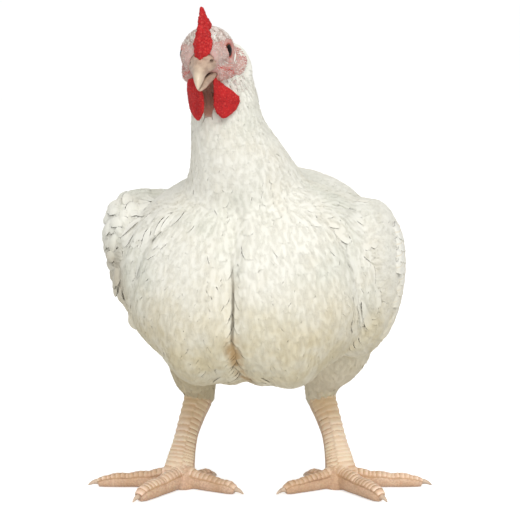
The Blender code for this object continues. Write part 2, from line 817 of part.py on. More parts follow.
def wing_core(name, side):
    """The smooth body of the wing, under its feathers."""
    out, up, _ = WING_HOLD[name]
    across, upright = np.array([1, 0, 0]), np.array([-wing_slant(name), 0, 1])
    rows = [row for row in resampled(WING_ROWS, 12) if row[0] <= WING_CORE_END]
    rings = []
    for y, x, z, thick, height in rows:
        thick = max(thick - WING_CORE_SINK, 0.55 * thick)
        height = max(height - 1.6 * WING_CORE_SINK, 0.55 * height)
        middle = np.array([x + out, y, z + up])
        rings.append(oval(middle, across, upright, thick, height, height, 12))
    return mirrored(tube(np.array(rings) * MM), side)


def wing_surface(name):
    """A function that gives the distance from the middle of the bird to the wing's outer side."""
    out, up, _ = WING_HOLD[name]
    slant, rows = wing_slant(name), wing_rows()

    def distance(y, z):
        x, middle, thick, height = (np.interp(y, rows[:, 0], rows[:, k]) for k in (1, 2, 3, 4))
        above = float(np.clip((z - middle - up) / height, -0.93, 0.93))
        return x + out + thick * math.sqrt(1 - above**2) - slant * above * height

    return distance


def body_surface(torso, side):
    """A function that gives the distance from the middle of the bird to the body's side, or None."""
    points, faces = solid_of(torso)
    tree = BVHTree.FromPolygons([Vector(p) for p in points], faces.tolist())

    def distance(y, z):
        hit = tree.ray_cast(Vector((side, y * MM, z * MM)), Vector((-side, 0, 0)))[0]
        return side * hit.x / MM if hit else -100

    return distance


def vane(length, width, to_world, stations=VANE_OUTLINE):
    """A feather's blade: a thin, flat tube along its outline, bent by to_world(along, across, depth)."""
    rings = []
    for share, wide in stations:
        half, along = width / 2 * wide, share * length
        thick = VANE_THICK + (VANE_TIP_THICK - VANE_THICK) * share
        corners = ((half, 0), (half, thick), (-half, thick), (-half, 0))
        rings.append([to_world(along, across, depth) for across, depth in corners])
    return facing_out(*blade(np.array(rings) * MM))


def blade(rings):
    """A closed solid through rings of four corners, cut alike on both faces."""
    count = len(rings)
    points = rings.reshape(-1, 3)
    faces = []
    for k in range(count - 1):
        a, b, c, d = (4 * k + j for j in range(4))
        e, f, g, h = (4 * k + 4 + j for j in range(4))
        faces += [(a, b, f), (a, f, e), (c, d, h), (c, h, g)]
        faces += [(a, e, h), (a, h, d), (b, g, f), (b, c, g)]
    last = 4 * (count - 1)
    faces += [(0, 3, 2), (0, 2, 1), (last, last + 1, last + 2), (last, last + 2, last + 3)]
    return points, np.array(faces)


def between(pair, share):
    return pair[0] + (pair[1] - pair[0]) * share


def wing_feathers(name):
    """Root y and z, bearing, length, width and lift of each feather of a folded wing."""
    drift = random.Random(name)
    feathers = []
    for row, width, lift in ((PRIMARIES, PRIMARY_WIDTH, PRIMARY_SINK), (SECONDARIES, SECONDARY_WIDTH, 0)):
        low, high, lengths, bearings, count = row
        for k in range(count):
            share = k / (count - 1)
            y, z = between((low[0], high[0]), share), between((low[1], high[1]), share)
            length = between(lengths, share) + drift.uniform(-2, 2)
            bearing = math.radians(between(bearings, share) + drift.uniform(-0.5, 0.5))
            feathers.append((y, z, bearing, length, width, lift))
            if row is SECONDARIES:
                for ahead, reach, proud in COVERTS:
                    root = (y - ahead * math.cos(bearing), z - ahead * math.sin(bearing))
                    feathers.append((*root, bearing, reach + drift.uniform(-2, 2), width - 1, proud))
    return feathers


def wing_vanes(name, side, torso):
    """The blades of one wing, laid on its shell and clear of the body."""
    shell, body = wing_surface(name), body_surface(torso, side)
    up = WING_HOLD[name][1]
    vanes = []
    for root_y, root_z, bearing, length, width, lift in wing_feathers(name):
        ahead, aside = math.cos(bearing), math.sin(bearing)

        def to_world(along, across, depth):
            y = root_y + ahead * along - aside * across
            z = root_z + up + aside * along + ahead * across
            dive = ROOT_DEPTH * max(0, 1 - along / ROOT_DIVE)
            x = shell(y, z) + VANE_SINK + lift - VANE_LEAN * across - dive - depth
            return side * max(x, body(y, z) + CLEAR + VANE_THICK - depth), y, z

        stations = VANE_OUTLINE if length > LONG_VANE else VANE_OUTLINE[:2] + VANE_OUTLINE[3:]
        vanes.append(vane(length, width, to_world, stations))
    return vanes


def make_wing(name, side, torso):
    """A folded wing: a smooth core with rows of overlapping feathers rooted in it."""
    wing = make_object(f"wing_{name}", wing_core(name, side), "plumage")
    joined(wing, wing_vanes(name, side, torso))
    return wing


def tail_vanes():
    """Two flat fans that lean out from a ridge, the middle feathers on top, with coverts over them."""
    vanes = []
    for side in SIDES.values():
        back = Vector((0, math.cos(TAIL_SLOPE), math.sin(TAIL_SLOPE)))
        flat_normal = Vector((0, -math.sin(TAIL_SLOPE), math.cos(TAIL_SLOPE)))
        aside = Vector((side, 0, 0))
        outward = aside * math.cos(TAIL_TENT) - flat_normal * math.sin(TAIL_TENT)
        normal = aside * math.sin(TAIL_TENT) + flat_normal * math.cos(TAIL_TENT)
        feathers = [(k / (TAIL_FEATHERS - 1), -TAIL_LAYER * k, between(TAIL_LENGTHS, k / (TAIL_FEATHERS - 1)))
                    for k in range(TAIL_FEATHERS)]
        feathers += [(k / TAIL_COVERTS + 0.1, TAIL_LAYER * (TAIL_COVERTS - k), TAIL_COVERT_LENGTH)
                     for k in range(TAIL_COVERTS)]
        for share, layer, length in feathers:
            turn = math.radians(TAIL_SPREAD * share)
            heading = back * math.cos(turn) - outward * math.sin(turn)
            broad = outward * math.cos(turn) + back * math.sin(turn)
            inset = TAIL_WIDTH / 2 + 1 + TAIL_ROOT_STEP * share * TAIL_FEATHERS
            root = TAIL_ROOT + outward * inset + normal * layer

            def to_world(along, across, depth):
                return tuple(root + heading * along + broad * across - normal * depth)

            vanes.append(vane(length, TAIL_WIDTH, to_world, VANE_OUTLINE[:2] + VANE_OUTLINE[3:]))
    return vanes


def make_tail():
    """The tail's fan of feathers on a small rump."""
    core = ellipsoid(tuple(TAIL_ROOT + TAIL_CORE_SHIFT), TAIL_CORE_RADII, 14, 9)
    tail = make_object("tail", core, "plumage")
    joined(tail, tail_vanes())
    return tail


def place_on_floor():
    """Moves the bird so that the origin is under the middle of its box, on the floor."""
    low, high = np.full(3, 1e9), np.full(3, -1e9)
    for obj in bpy.context.scene.collection.objects:
        points, _ = solid_of(obj)
        low, high = np.minimum(low, points.min(0)), np.maximum(high, points.max(0))
    middle = (low + high) / 2
    root = bpy.data.objects.new("bird", None)
    bpy.context.scene.collection.objects.link(root)
    root.location = (-middle[0], -middle[1], -low[2])
    for obj in bpy.context.scene.collection.objects:
        if obj.type == "MESH":
            obj.parent = root


def shade_round():
    for obj in bpy.context.scene.collection.objects:
        if obj.type == "MESH":
            obj.data.shade_smooth()
            obj.data.set_sharp_from_angle(angle=math.radians(40))


def build():
    clear_scene()
    torso, neck = make_torso_and_neck()
    head = make_head()
    eyes = make_eyes()
    upper = beak_half("beak_upper", BEAK_UPPER_ROWS)
    cut_nostrils(upper)
    lower = beak_half("beak_lower", BEAK_LOWER_ROWS)
    carve(lower, upper)
    carve(head, *eyes, upper, lower)
    comb = make_comb()
    carve(comb, head, upper)
    for name, side in SIDES.items():
        wattle = make_wattle(f"wattle_{name}", side)
        carve(wattle, head, lower, neck)
        thigh = make_object(f"thigh_{name}", thigh_solid(side), "plumage")
        carve(thigh, torso)
        wing = make_wing(name, side, torso)
        carve(wing, torso, thigh_solid(side))
        make_foot(f"foot_{name}", side)
        shank = make_shank(f"shank_{name}", side)
        carve(shank, thigh_solid(side))
        carve(shank, *foot_solids(side), gap=GAP + SCUTE_RISE)
    tail = make_tail()
    carve(tail, torso)
    place_on_floor()
    shade_round()


build()
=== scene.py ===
import math

import bpy
import numpy as np
from mathutils import Matrix, Vector, noise
from mathutils.bvhtree import BVHTree
from mathutils.kdtree import KDTree


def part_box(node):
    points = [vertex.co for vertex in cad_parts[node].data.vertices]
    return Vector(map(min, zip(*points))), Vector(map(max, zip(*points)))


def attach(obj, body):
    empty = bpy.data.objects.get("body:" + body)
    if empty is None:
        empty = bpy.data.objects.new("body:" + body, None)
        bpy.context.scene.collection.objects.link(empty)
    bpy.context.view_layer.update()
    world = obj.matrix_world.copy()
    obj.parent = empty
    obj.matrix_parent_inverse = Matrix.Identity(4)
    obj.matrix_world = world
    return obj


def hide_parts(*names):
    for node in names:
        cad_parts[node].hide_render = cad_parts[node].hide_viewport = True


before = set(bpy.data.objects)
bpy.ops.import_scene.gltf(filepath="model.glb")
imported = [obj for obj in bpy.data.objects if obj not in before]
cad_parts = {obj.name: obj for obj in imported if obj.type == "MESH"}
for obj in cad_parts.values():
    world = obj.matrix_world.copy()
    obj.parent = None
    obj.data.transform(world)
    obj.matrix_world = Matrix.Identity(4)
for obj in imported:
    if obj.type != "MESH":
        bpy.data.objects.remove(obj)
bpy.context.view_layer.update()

MM = 0.001
SIDES = {"left": 1, "right": -1}

# The head's own frame, in the bird's frame: the point between the eyes, and the head's turn, bow and tilt.
EYES_MIDDLE = Vector((-17.8, -115, 345.4)) * MM
HEAD_TURN, HEAD_BOW, HEAD_TILT = (math.radians(angle) for angle in (1, 15.5, -6))
STANCE_TURN = math.radians(10)


def eye_middle(name):
    low, high = (Vector(corner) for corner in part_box(name))
    return (low + high) / 2


# From the bird's frame to the model's, read off the eyes.
SHIFT = (eye_middle("eye_left") + eye_middle("eye_right")) / 2 - EYES_MIDDLE
SHIFT.z = 0

HEAD_FRAME = (Matrix.Translation(EYES_MIDDLE + SHIFT)
              @ (Matrix.Rotation(HEAD_TURN, 4, "Z") @ Matrix.Rotation(HEAD_BOW, 4, "X"))
              @ Matrix.Rotation(HEAD_TILT, 4, "Y"))
HEAD_AXES = np.array(HEAD_FRAME)[:3, :3]
TO_HEAD = np.array(HEAD_FRAME.inverted())


def in_head(points):
    """Points as forward, side and up in the head's own frame, in millimetres."""
    local = (points @ TO_HEAD[:3, :3].T + TO_HEAD[:3, 3]) / MM
    return -local[:, 1], local[:, 0], local[:, 2]


def in_bird(points):
    """Points in the bird's frame, in millimetres."""
    return (np.asarray(points) - np.array(SHIFT)) / MM


def to_model(points):
    """Points in millimetres in the bird's frame, as metres in the model's."""
    return np.asarray(points) * MM + np.array(SHIFT)


def stance(points):
    """Points in millimetres in the stance's frame, square to the viewer, as metres in the model's."""
    return to_model(np.asarray(points) @ np.array(Matrix.Rotation(STANCE_TURN, 3, "Z")).T)


def unit(vectors):
    vectors = np.asarray(vectors, float)
    return vectors / np.maximum(np.linalg.norm(vectors, axis=-1, keepdims=True), 1e-12)


def moved(points, ways, far):
    """Points moved along their own directions, each as far as its own number says."""
    return points + ways * np.asarray(far).reshape(-1, 1)


def smoothstep(low, high, value):
    t = np.clip((np.asarray(value, float) - low) / (high - low), 0, 1)
    return t * t * (3 - 2 * t)


def mound(value, width):
    """A soft hump: 1 where the value is 0, and near 0 where it is twice the width."""
    return np.exp(-((value / width) ** 2))


def mix(a, b, share):
    return a + (b - a) * share


# Meshes from arrays


def linked(name, data):
    """A new object in the scene."""
    obj = bpy.data.objects.new(name, data)
    bpy.context.scene.collection.objects.link(obj)
    return obj


def mesh_from(name, points, faces):
    """A mesh from arrays of points and of triangles or quads."""
    points, faces = np.asarray(points, np.float32), np.asarray(faces, np.int32)
    count, corners = faces.shape
    mesh = bpy.data.meshes.new(name)
    mesh.vertices.add(len(points))
    mesh.vertices.foreach_set("co", points.ravel())
    mesh.loops.add(count * corners)
    mesh.loops.foreach_set("vertex_index", faces.ravel())
    mesh.polygons.add(count)
    mesh.polygons.foreach_set("loop_start", np.arange(0, count * corners, corners, dtype=np.int32))
    mesh.polygons.foreach_set("use_smooth", np.ones(count, bool))
    mesh.update(calc_edges=True)
    return mesh


def make(name, points, faces, materials, slot, *nodes):
    """A piece of the bird that rides on its one body and stands for the nodes, if any."""
    obj = linked(name, mesh_from(name, points, faces))
    for material in materials:
        obj.data.materials.append(material)
    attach(obj, "root")
    if nodes:
        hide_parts(*nodes)
    return obj


def with_values(obj, **values):
    """Keeps numbers at the points of a mesh for its material."""
    for name, numbers in values.items():
        layer = obj.data.attributes.new(name, "FLOAT", "POINT")
        layer.data.foreach_set("value", np.asarray(numbers, np.float32))


def arrays_of(mesh):
    points = np.empty(len(mesh.vertices) * 3, np.float32)
    mesh.vertices.foreach_get("co", points)
    mesh.calc_loop_triangles()
    faces = np.empty(len(mesh.loop_triangles) * 3, np.int32)
    mesh.loop_triangles.foreach_get("vertices", faces)
    return points.reshape(-1, 3).astype(float), faces.reshape(-1, 3)


def face_normals(points, faces):
    """The normal of each triangle, as long as twice its area."""
    corners = points[faces]
    return np.cross(corners[:, 1] - corners[:, 0], corners[:, 2] - corners[:, 0])


def normals_of(points, faces):
    normals, ways = np.zeros_like(points), face_normals(points, faces)
    for corner in faces.T:
        np.add.at(normals, corner, ways)
    return unit(normals)


def merged(*solids):
    """Several (points, faces) as one."""
    starts = np.cumsum([0] + [len(points) for points, _ in solids])
    faces = [faces + start for (_, faces), start in zip(solids, starts)]
    return np.vstack([points for points, _ in solids]), np.vstack(faces)


def face_tree(points, faces):
    return BVHTree.FromPolygons(points.tolist(), faces.tolist())


def point_tree(points):
    tree = KDTree(len(points))
    for k, point in enumerate(points):
        tree.insert(point, k)
    tree.balance()
    return tree


def node_solid(name, grow=0.0):
    points, faces = arrays_of(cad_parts[name].data)
    keys, back = np.unique(np.round(points, 7), axis=0, return_inverse=True)
    faces = back.ravel()[faces]
    return moved(keys, normals_of(keys, faces), grow), faces


def remeshed(solid, voxel, smoothing):
    """One closed skin round the solid, as (points, triangles)."""
    obj = linked("scratch", mesh_from("scratch", *solid))
    remesh = obj.modifiers.new("fuse", "REMESH")
    remesh.mode = "VOXEL"
    remesh.voxel_size = voxel
    soften = obj.modifiers.new("soften", "SMOOTH")
    soften.factor = 0.5
    soften.iterations = smoothing
    evaluated = obj.evaluated_get(bpy.context.evaluated_depsgraph_get())
    result = arrays_of(evaluated.to_mesh())
    evaluated.to_mesh_clear()
    bpy.data.objects.remove(obj)
    return result


def softened(values, faces, rounds):
    """Values at the points of a mesh, evened out over its edges."""
    values = np.asarray(values, float)
    edges = np.concatenate([faces[:, :2], faces[:, 1:3], faces[:, [0, 2]]])
    edges = np.unique(np.sort(edges, axis=1), axis=0)
    count = np.bincount(edges.ravel(), minlength=len(values)).astype(float)
    shape = (-1,) + (1,) * (values.ndim - 1)
    for _ in range(rounds):
        total = np.zeros_like(values)
        np.add.at(total, edges[:, 0], values[edges[:, 1]])
        np.add.at(total, edges[:, 1], values[edges[:, 0]])
        values = 0.5 * values + 0.5 * total / np.maximum(count, 1).reshape(shape)
    return values


def ripple(points, size, seed=0.0):
    """Smooth noise between about -1 and 1 at each point, with waves of the given size in millimetres."""
    return np.array([noise.noise(Vector(p) / (size * MM) + Vector((seed, 0, 0))) for p in points])


def granules(points, size, seed=0.0):
    """Rounded grains of the given size in millimetres: 1 in the middle of each and 0 between them."""
    near = [noise.voronoi(Vector(p) / (size * MM) + Vector((seed, 0, 0)))[0] for p in points]
    return np.sqrt([min(1.0, (apart[1] - apart[0]) * 2.2) for apart in near])


# Forms shared with the solids


def resampled(rows, count):
    """Rows of numbers read from a smooth curve through the given rows."""
    rows = np.array(rows, float)
    padded = np.vstack([2 * rows[0] - rows[1], rows, 2 * rows[-1] - rows[-2]])
    places = np.linspace(0, len(rows) - 1, count)
    index = np.minimum(places.astype(int), len(rows) - 2)
    t = (places - index)[:, None]
    a, b, c, d = (padded[index + k] for k in range(4))
    return 0.5 * (2 * b + (c - a) * t + (2 * a - 5 * b + 4 * c - d) * t**2 + (3 * b - a - 3 * c + d) * t**3)


def ring(centre, across, upward, half_width, rise, drop, sides):
    angle = np.arange(sides) * 2 * math.pi / sides
    height = np.where(np.sin(angle) > 0, rise, drop) * np.sin(angle)
    return centre + np.outer(half_width * np.cos(angle), across) + np.outer(height, upward)


def band(count, sides):
    """The triangles between closed rings, each with the same number of points."""
    k, j = np.meshgrid(np.arange(count - 1), np.arange(sides), indexing="ij")
    a, b = (k * sides + j).ravel(), (k * sides + (j + 1) % sides).ravel()
    return np.vstack([np.column_stack([a, b, b + sides]), np.column_stack([a, b + sides, a + sides])])


def tube(rings):
    """A closed solid through rings of equal count, with a fan over each end."""
    rings = np.asarray(rings, float)
    count, sides = rings.shape[:2]
    points = np.vstack([rings.reshape(-1, 3), rings[0].mean(0), rings[-1].mean(0)])
    loop = np.arange(sides)
    after = (loop + 1) % sides
    top = (count - 1) * sides
    first = np.column_stack([np.full(sides, count * sides), after, loop])
    last = np.column_stack([np.full(sides, count * sides + 1), top + loop, top + after])
    return facing_out(points, np.vstack([band(count, sides), first, last]))


def facing_out(points, faces):
    corners = points[faces]
    volume = np.einsum("ij,ij->i", corners[:, 0], np.cross(corners[:, 1], corners[:, 2])).sum()
    return points, faces if volume > 0 else faces[:, ::-1]


def mirrored(solid, side):
    points, faces = solid
    return facing_out(points * (side, 1, 1), faces)


def ellipsoid(centre, radii, segments, rings):
    loops = []
    for turn in np.linspace(0.02, math.pi - 0.02, rings):
        middle = np.array(centre) - (0, 0, radii[2] * math.cos(turn))
        wide, deep = radii[0] * math.sin(turn), radii[1] * math.sin(turn)
        loops.append(ring(middle, np.array((1, 0, 0)), np.array((0, 1, 0)), wide, deep, deep, segments))
    return tube(loops)


# Wing, front to rear, for the left side: y, x and z of the middle, half thickness, half height.
WING_ROWS = (
    (-76, 68, 184, 5, 14),
    (-68, 74, 181, 16, 36),
    (-48, 79, 178, 25, 53),
    (-20, 80, 177, 30, 60),
    (10, 80, 178, 30, 60),
    (42, 76, 182, 27, 54),
    (74, 68, 189, 22, 45),
    (104, 60, 196, 17, 34),
    (130, 51, 202, 12, 24),
    (160, 42, 207, 6, 14),
    (182, 36, 210, 2, 5),
)
# How far each wing is held out and up, in millimetres, and its lean in degrees.
WING_HOLD = {"left": (2, -1, -4), "right": (3, 5, -15)}
WING_COVERED = 74
WING_CORE_END = 112
wing_rows = resampled(WING_ROWS, 40)


def wing_slant(name):
    return math.tan(math.radians(WING_HOLD[name][2]))


def wing_solid(name, side, sink):
    """The wing as one smooth form, that far inside its outer side, to where its core ends."""
    out, up, _ = WING_HOLD[name]
    across, upright = np.array([1, 0, 0]), np.array([-wing_slant(name), 0, 1])
    rings = []
    for y, x, z, thick, height in wing_rows:
        if y <= WING_CORE_END:
            thick, height = max(thick - sink, 0.5 * thick), max(height - sink, 0.5 * height)
            rings.append(ring(np.array([x + out, y, z + up]), across, upright, thick, height, height, 40))
    points, faces = mirrored(tube(rings), side)
    return to_model(points), faces


def wing_reach(name, y, z):
    """The distance from the middle of the bird to the wing's outer side."""
    out, up, _ = WING_HOLD[name]
    x, middle, thick, height = (np.interp(y, wing_rows[:, 0], wing_rows[:, k]) for k in (1, 2, 3, 4))
    above = np.clip((z - middle - up) / height, -0.95, 0.95)
    return x + out + thick * np.sqrt(1 - above**2) - wing_slant(name) * above * height


# Materials


class Tree:
    """A material's nodes, made from values and sockets."""

    def __init__(self, name):
        self.material = bpy.data.materials.new(name)
        self.material.use_nodes = True
        self.tree = self.material.node_tree
        self.shader = self.tree.nodes["Principled BSDF"]
        self.place = self.node("ShaderNodeTexCoord").outputs["Object"]

    def node(self, kind, inputs=None, **settings):
        made = self.tree.nodes.new(kind)
        for key, value in settings.items():
            setattr(made, key, value)
        for key, value in (inputs or {}).items():
            self.give(made.inputs[key], value)
        return made

    def give(self, socket, value):
        if isinstance(value, bpy.types.NodeSocket):
            self.tree.links.new(value, socket)
        else:
            socket.default_value = (*value, 1.0) if socket.type == "RGBA" else value

    def sum(self, operation, *values):
        return self.node("ShaderNodeMath", dict(enumerate(values)), operation=operation).outputs[0]

    def less(self, value, other):
        return self.sum("SUBTRACT", value, other)

    def times(self, first, *others):
        for other in others:
            first = self.sum("MULTIPLY", first, other)
        return first

    def noise(self, scale, detail, rough=0.55, place=None):
        values = {"Vector": place or self.place, "Scale": scale, "Detail": detail, "Roughness": rough}
        return self.node("ShaderNodeTexNoise", values).outputs["Fac"]

    def cells(self, scale):
        return self.node("ShaderNodeTexVoronoi", {"Vector": self.place, "Scale": scale}).outputs["Distance"]

    def span(self, value, low, high, to_low=0.0, to_high=1.0):
        """The value's share of the way from low to high, smoothed, as a number between the other two."""
        values = {"Value": value, "From Min": low, "From Max": high, "To Min": to_low, "To Max": to_high}
        return self.node("ShaderNodeMapRange", values, interpolation_type="SMOOTHSTEP").outputs[0]

    def spots(self, scale, detail, low, high, to_low=0.0, to_high=1.0):
        """Soft patches of noise."""
        return self.span(self.noise(scale, detail), low, high, to_low, to_high)

    def blend(self, share, first, second):
        return self.node("ShaderNodeMix", {0: share, 6: first, 7: second}, data_type="RGBA").outputs[2]

    def kept(self, name):
        """The number that with_values has kept under this name."""
        return self.node("ShaderNodeAttribute", attribute_name=name).outputs["Fac"]

    def axis(self, which, place=None):
        split = self.node("ShaderNodeSeparateXYZ", {"Vector": place or self.place})
        return split.outputs["XYZ".index(which)]

    def on_vane(self):
        """How far along the feather a place lies, and how far across it."""
        vane = self.node("ShaderNodeUVMap", uv_map="vane").outputs[0]
        return self.axis("X", vane), self.axis("Y", vane)

    def bump(self, height, strength, distance):
        made = self.node("ShaderNodeBump", {"Height": height, "Strength": strength, "Distance": distance})
        self.give(self.shader.inputs["Normal"], made.outputs[0])

    def surface(self, colour, roughness, **numbers):
        self.give(self.shader.inputs["Base Color"], colour)
        self.give(self.shader.inputs["Roughness"], roughness)
        for key, value in numbers.items():
            self.shader.inputs[key.replace("_", " ")].default_value = value
        return self.material


WHITE = (0.90, 0.885, 0.80)
CREAM = (0.85, 0.81, 0.69)
COOL = (0.81, 0.81, 0.715)
STRAW = (0.73, 0.64, 0.42)
OLIVE = (0.66, 0.57, 0.37)
RUST = (0.44, 0.27, 0.10)
KEEL_FOLD_SHADE = (0.16, 0.13, 0.08)
ARM_SHADE = (0.52, 0.46, 0.345)
THIGH_PAINTED_LIGHT = (0.92, 0.86, 0.70)
# Where each tint begins and where it is full, in metres in the model's frame.
BREAST_STAIN_AND_SHADE = (0.200, 0.120)
LEG_STAIN = (0.118, 0.088)
ARM_X, ARM_Y, ARM_TOP, ARM_FOOT = (-0.080, -0.093), (-0.010, -0.050), (0.212, 0.190), (0.128, 0.148)
THIGH_LIGHT_X, THIGH_LIGHT_TOP = (0.0, 0.03), (0.118, 0.095)
KEEL_X, KEEL_FRONT = SHIFT.x, (SHIFT.y - 0.025, SHIFT.y - 0.055)
KEEL_DRIFT = (0.142, 0.088, 0.0, 0.007)
SEAM_WIDTH, SEAM_TOP, SEAM_FOOT = (0.0018, 0.0004), (0.215, 0.172), (0.118, 0.140)
LINE_WIDTH, LINE_TOP, LINE_FOOT = (0.009, 0.001), (0.150, 0.132), (0.080, 0.088)


def plumage_colour(t):
    """White that turns cream and straw low on the breast, the straw partly a real stain and partly painted
    shade, with painted shade in the fold down the keel and on the inner side of the right wing's front,
    painted light on the thigh on the +x side, and a rusty line down the keel.
    """
    x, y, z = (t.axis(a) for a in "XYZ")
    base = t.blend(t.spots(14, 4, 0.42, 0.68), WHITE, COOL)
    base = t.blend(t.spots(45, 3, 0.45, 0.75, 0.0, 0.55), base, CREAM)
    wander = t.times(t.less(t.noise(26, 4), 0.5), 0.05)
    # Straw low on the breast: partly a real stain, partly painted shade on the underside.
    under = t.span(t.sum("ADD", z, wander), *BREAST_STAIN_AND_SHADE)
    base = t.blend(t.times(under, t.spots(60, 4, 0.3, 0.65, 0.55, 1.0)), base, STRAW)
    base = t.blend(t.times(t.span(z, *LEG_STAIN), t.spots(80, 3, 0.3, 0.65, 0.55, 1.0)), base, OLIVE)
    # Painted shade on the inner side of the right wing's front, beside the breast.
    arm = t.times(t.span(x, *ARM_X), t.span(y, *ARM_Y), t.span(z, *ARM_TOP), t.span(z, *ARM_FOOT))
    base = t.blend(t.times(arm, t.spots(70, 3, 0.3, 0.65, 0.45, 0.9)), base, ARM_SHADE)
    # Painted light: the thigh on the +x side made paler, as if more light fell on it.
    base = t.blend(t.times(t.span(x, *THIGH_LIGHT_X), t.span(z, *THIGH_LIGHT_TOP), 0.55), base, THIGH_PAINTED_LIGHT)
    aside = t.less(t.sum("ADD", x, t.times(wander, 0.12)), KEEL_X)
    off = t.sum("ABSOLUTE", t.less(aside, t.span(z, *KEEL_DRIFT)))
    ahead = t.span(y, *KEEL_FRONT)
    # Painted shade in the fold down the keel, between the two sides of the breast.
    fold_shade = t.times(t.span(off, *SEAM_WIDTH), t.span(z, *SEAM_TOP), t.span(z, *SEAM_FOOT), ahead, 0.85)
    base = t.blend(fold_shade, base, KEEL_FOLD_SHADE)
    line = t.times(t.span(off, *LINE_WIDTH), t.span(z, *LINE_TOP), t.span(z, *LINE_FOOT), ahead)
    return t.blend(t.times(line, t.spots(120, 3, 0.38, 0.6, 0.3, 1.0)), base, RUST)


def plumage_material():
    t = Tree("plumage")
    along, across = t.on_vane()
    colour = t.blend(t.times(t.kept("tint"), 0.13), plumage_colour(t), (0.55, 0.53, 0.45))
    barbs = t.sum("SINE", t.times(t.less(along, t.times(t.sum("ABSOLUTE", across), 0.22)), 180))
    colour = t.blend(t.span(barbs, -1, 1, 0.0, 0.10), colour, (0.50, 0.48, 0.40))
    t.bump(barbs, 0.15, 0.0003)
    return t.surface(colour, 0.8, Sheen_Weight=0.15, Sheen_Roughness=0.6, Specular_IOR_Level=0.2)


def bristle_material():
    """The hair-like feathers of the face and forehead, greyer and pinker than the coat they run into."""
    t = Tree("bristle")
    eye_y, eye_z = EYES_MIDDLE.y + SHIFT.y, EYES_MIDDLE.z
    colour = t.blend(t.spots(330, 3, 0.40, 0.62), (0.76, 0.69, 0.63), (0.44, 0.33, 0.285))
    rear = t.span(t.axis("Y"), eye_y + 0.004, eye_y + 0.018)
    low = t.span(t.axis("Z"), eye_z - 0.028, eye_z - 0.038)
    colour = t.blend(t.sum("MAXIMUM", rear, low), colour, plumage_colour(t))
    t.bump(t.noise(600, 2), 0.15, 0.0003)
    return t.surface(colour, 0.75, Sheen_Weight=0.1, Specular_IOR_Level=0.2)


def vane_material():
    """The long feathers of the wings and the tail: a smooth web with fine slanted barbs and a pale shaft."""
    t = Tree("vane")
    along, across = t.on_vane()
    off = t.sum("ABSOLUTE", across)
    shaft = t.span(off, 0.09, 0.03)
    colour = t.blend(t.span(along, 0.7, 1.0, 0.0, 0.4), plumage_colour(t), CREAM)
    colour = t.blend(t.times(shaft, 0.7), colour, (0.80, 0.72, 0.56))
    slant = t.sum("ADD", t.less(along, t.times(off, 0.16)), t.times(t.noise(320, 2), 0.02))
    barbs = t.sum("SINE", t.times(slant, 620))
    t.bump(t.sum("ADD", t.times(barbs, 0.35), t.times(shaft, 2.0)), 0.35, 0.0003)
    return t.surface(colour, 0.62, Sheen_Weight=0.15, Specular_IOR_Level=0.35)


SKIN_PINK = (0.52, 0.23, 0.20)
SKIN_PALE = (0.60, 0.35, 0.30)
SKIN_RED = (0.55, 0.07, 0.055)
SKIN_THROAT = (0.41, 0.205, 0.145)
SKIN_CROWN = (0.57, 0.44, 0.40)


def skin_material():
    """Bare skin of the face, and the same pale skin under the coat, in the coat's own colours there."""
    t = Tree("skin")
    fine = t.noise(260, 4)
    colour = t.blend(t.spots(90, 3, 0.35, 0.7), SKIN_PALE, SKIN_PINK)
    colour = t.blend(t.span(fine, 0.5, 0.75, 0.0, 0.5), colour, (0.78, 0.62, 0.56))
    tints = {"throat": SKIN_THROAT, "crown": SKIN_CROWN, "red": SKIN_RED, "feathered": plumage_colour(t)}
    for name, tint in tints.items():
        colour = t.blend(t.kept(name), colour, tint)
    t.bump(t.sum("ADD", t.cells(900), t.times(fine, 0.8)), 0.35, 0.0005)
    return t.surface(colour, 0.55, Subsurface_Weight=0.12, Subsurface_Scale=0.004, Specular_IOR_Level=0.4)


def comb_material():
    t = Tree("comb")
    grain = t.kept("grain")
    colour = t.blend(t.spots(130, 4, 0.35, 0.7), (0.56, 0.013, 0.014), (0.43, 0.008, 0.010))
    # Painted shade in the hollows between the granules.
    colour = t.blend(t.span(grain, 0.45, 0.1, 0.0, 0.8), colour, (0.19, 0.004, 0.006))
    # Painted highlight on the top of each granule.
    colour = t.blend(t.span(grain, 0.8, 1.0, 0.0, 0.35), colour, (0.70, 0.09, 0.065))
    t.bump(t.less(1.0, t.cells(1500)), 0.35, 0.0004)
    return t.surface(colour, 0.5, Subsurface_Weight=0.08, Subsurface_Scale=0.003, Specular_IOR_Level=0.3)


def beak_material():
    t = Tree("beak")
    forward = t.times(t.less(t.axis("Y"), EYES_MIDDLE.y + SHIFT.y), -1.0)
    drawn_out = t.node("ShaderNodeMapping", {"Vector": t.place, "Scale": (6, 1, 6)}).outputs[0]
    streaks = t.noise(55, 3, place=drawn_out)
    colour = t.blend(t.span(streaks, 0.4, 0.65), (0.54, 0.385, 0.28), (0.40, 0.27, 0.195))
    colour = t.blend(t.span(forward, 0.026, 0.040), colour, (0.74, 0.62, 0.46))
    colour = t.blend(t.spots(400, 2, 0.6, 0.8, 0.0, 0.4), colour, (0.50, 0.36, 0.24))
    # Painted shade where the two halves of the bill meet, and in the nostrils.
    colour = t.blend(t.kept("red"), colour, (0.05, 0.018, 0.014))
    t.bump(streaks, 0.2, 0.0004)
    return t.surface(colour, 0.33, Coat_Weight=0.2, Coat_Roughness=0.25, Specular_IOR_Level=0.5)


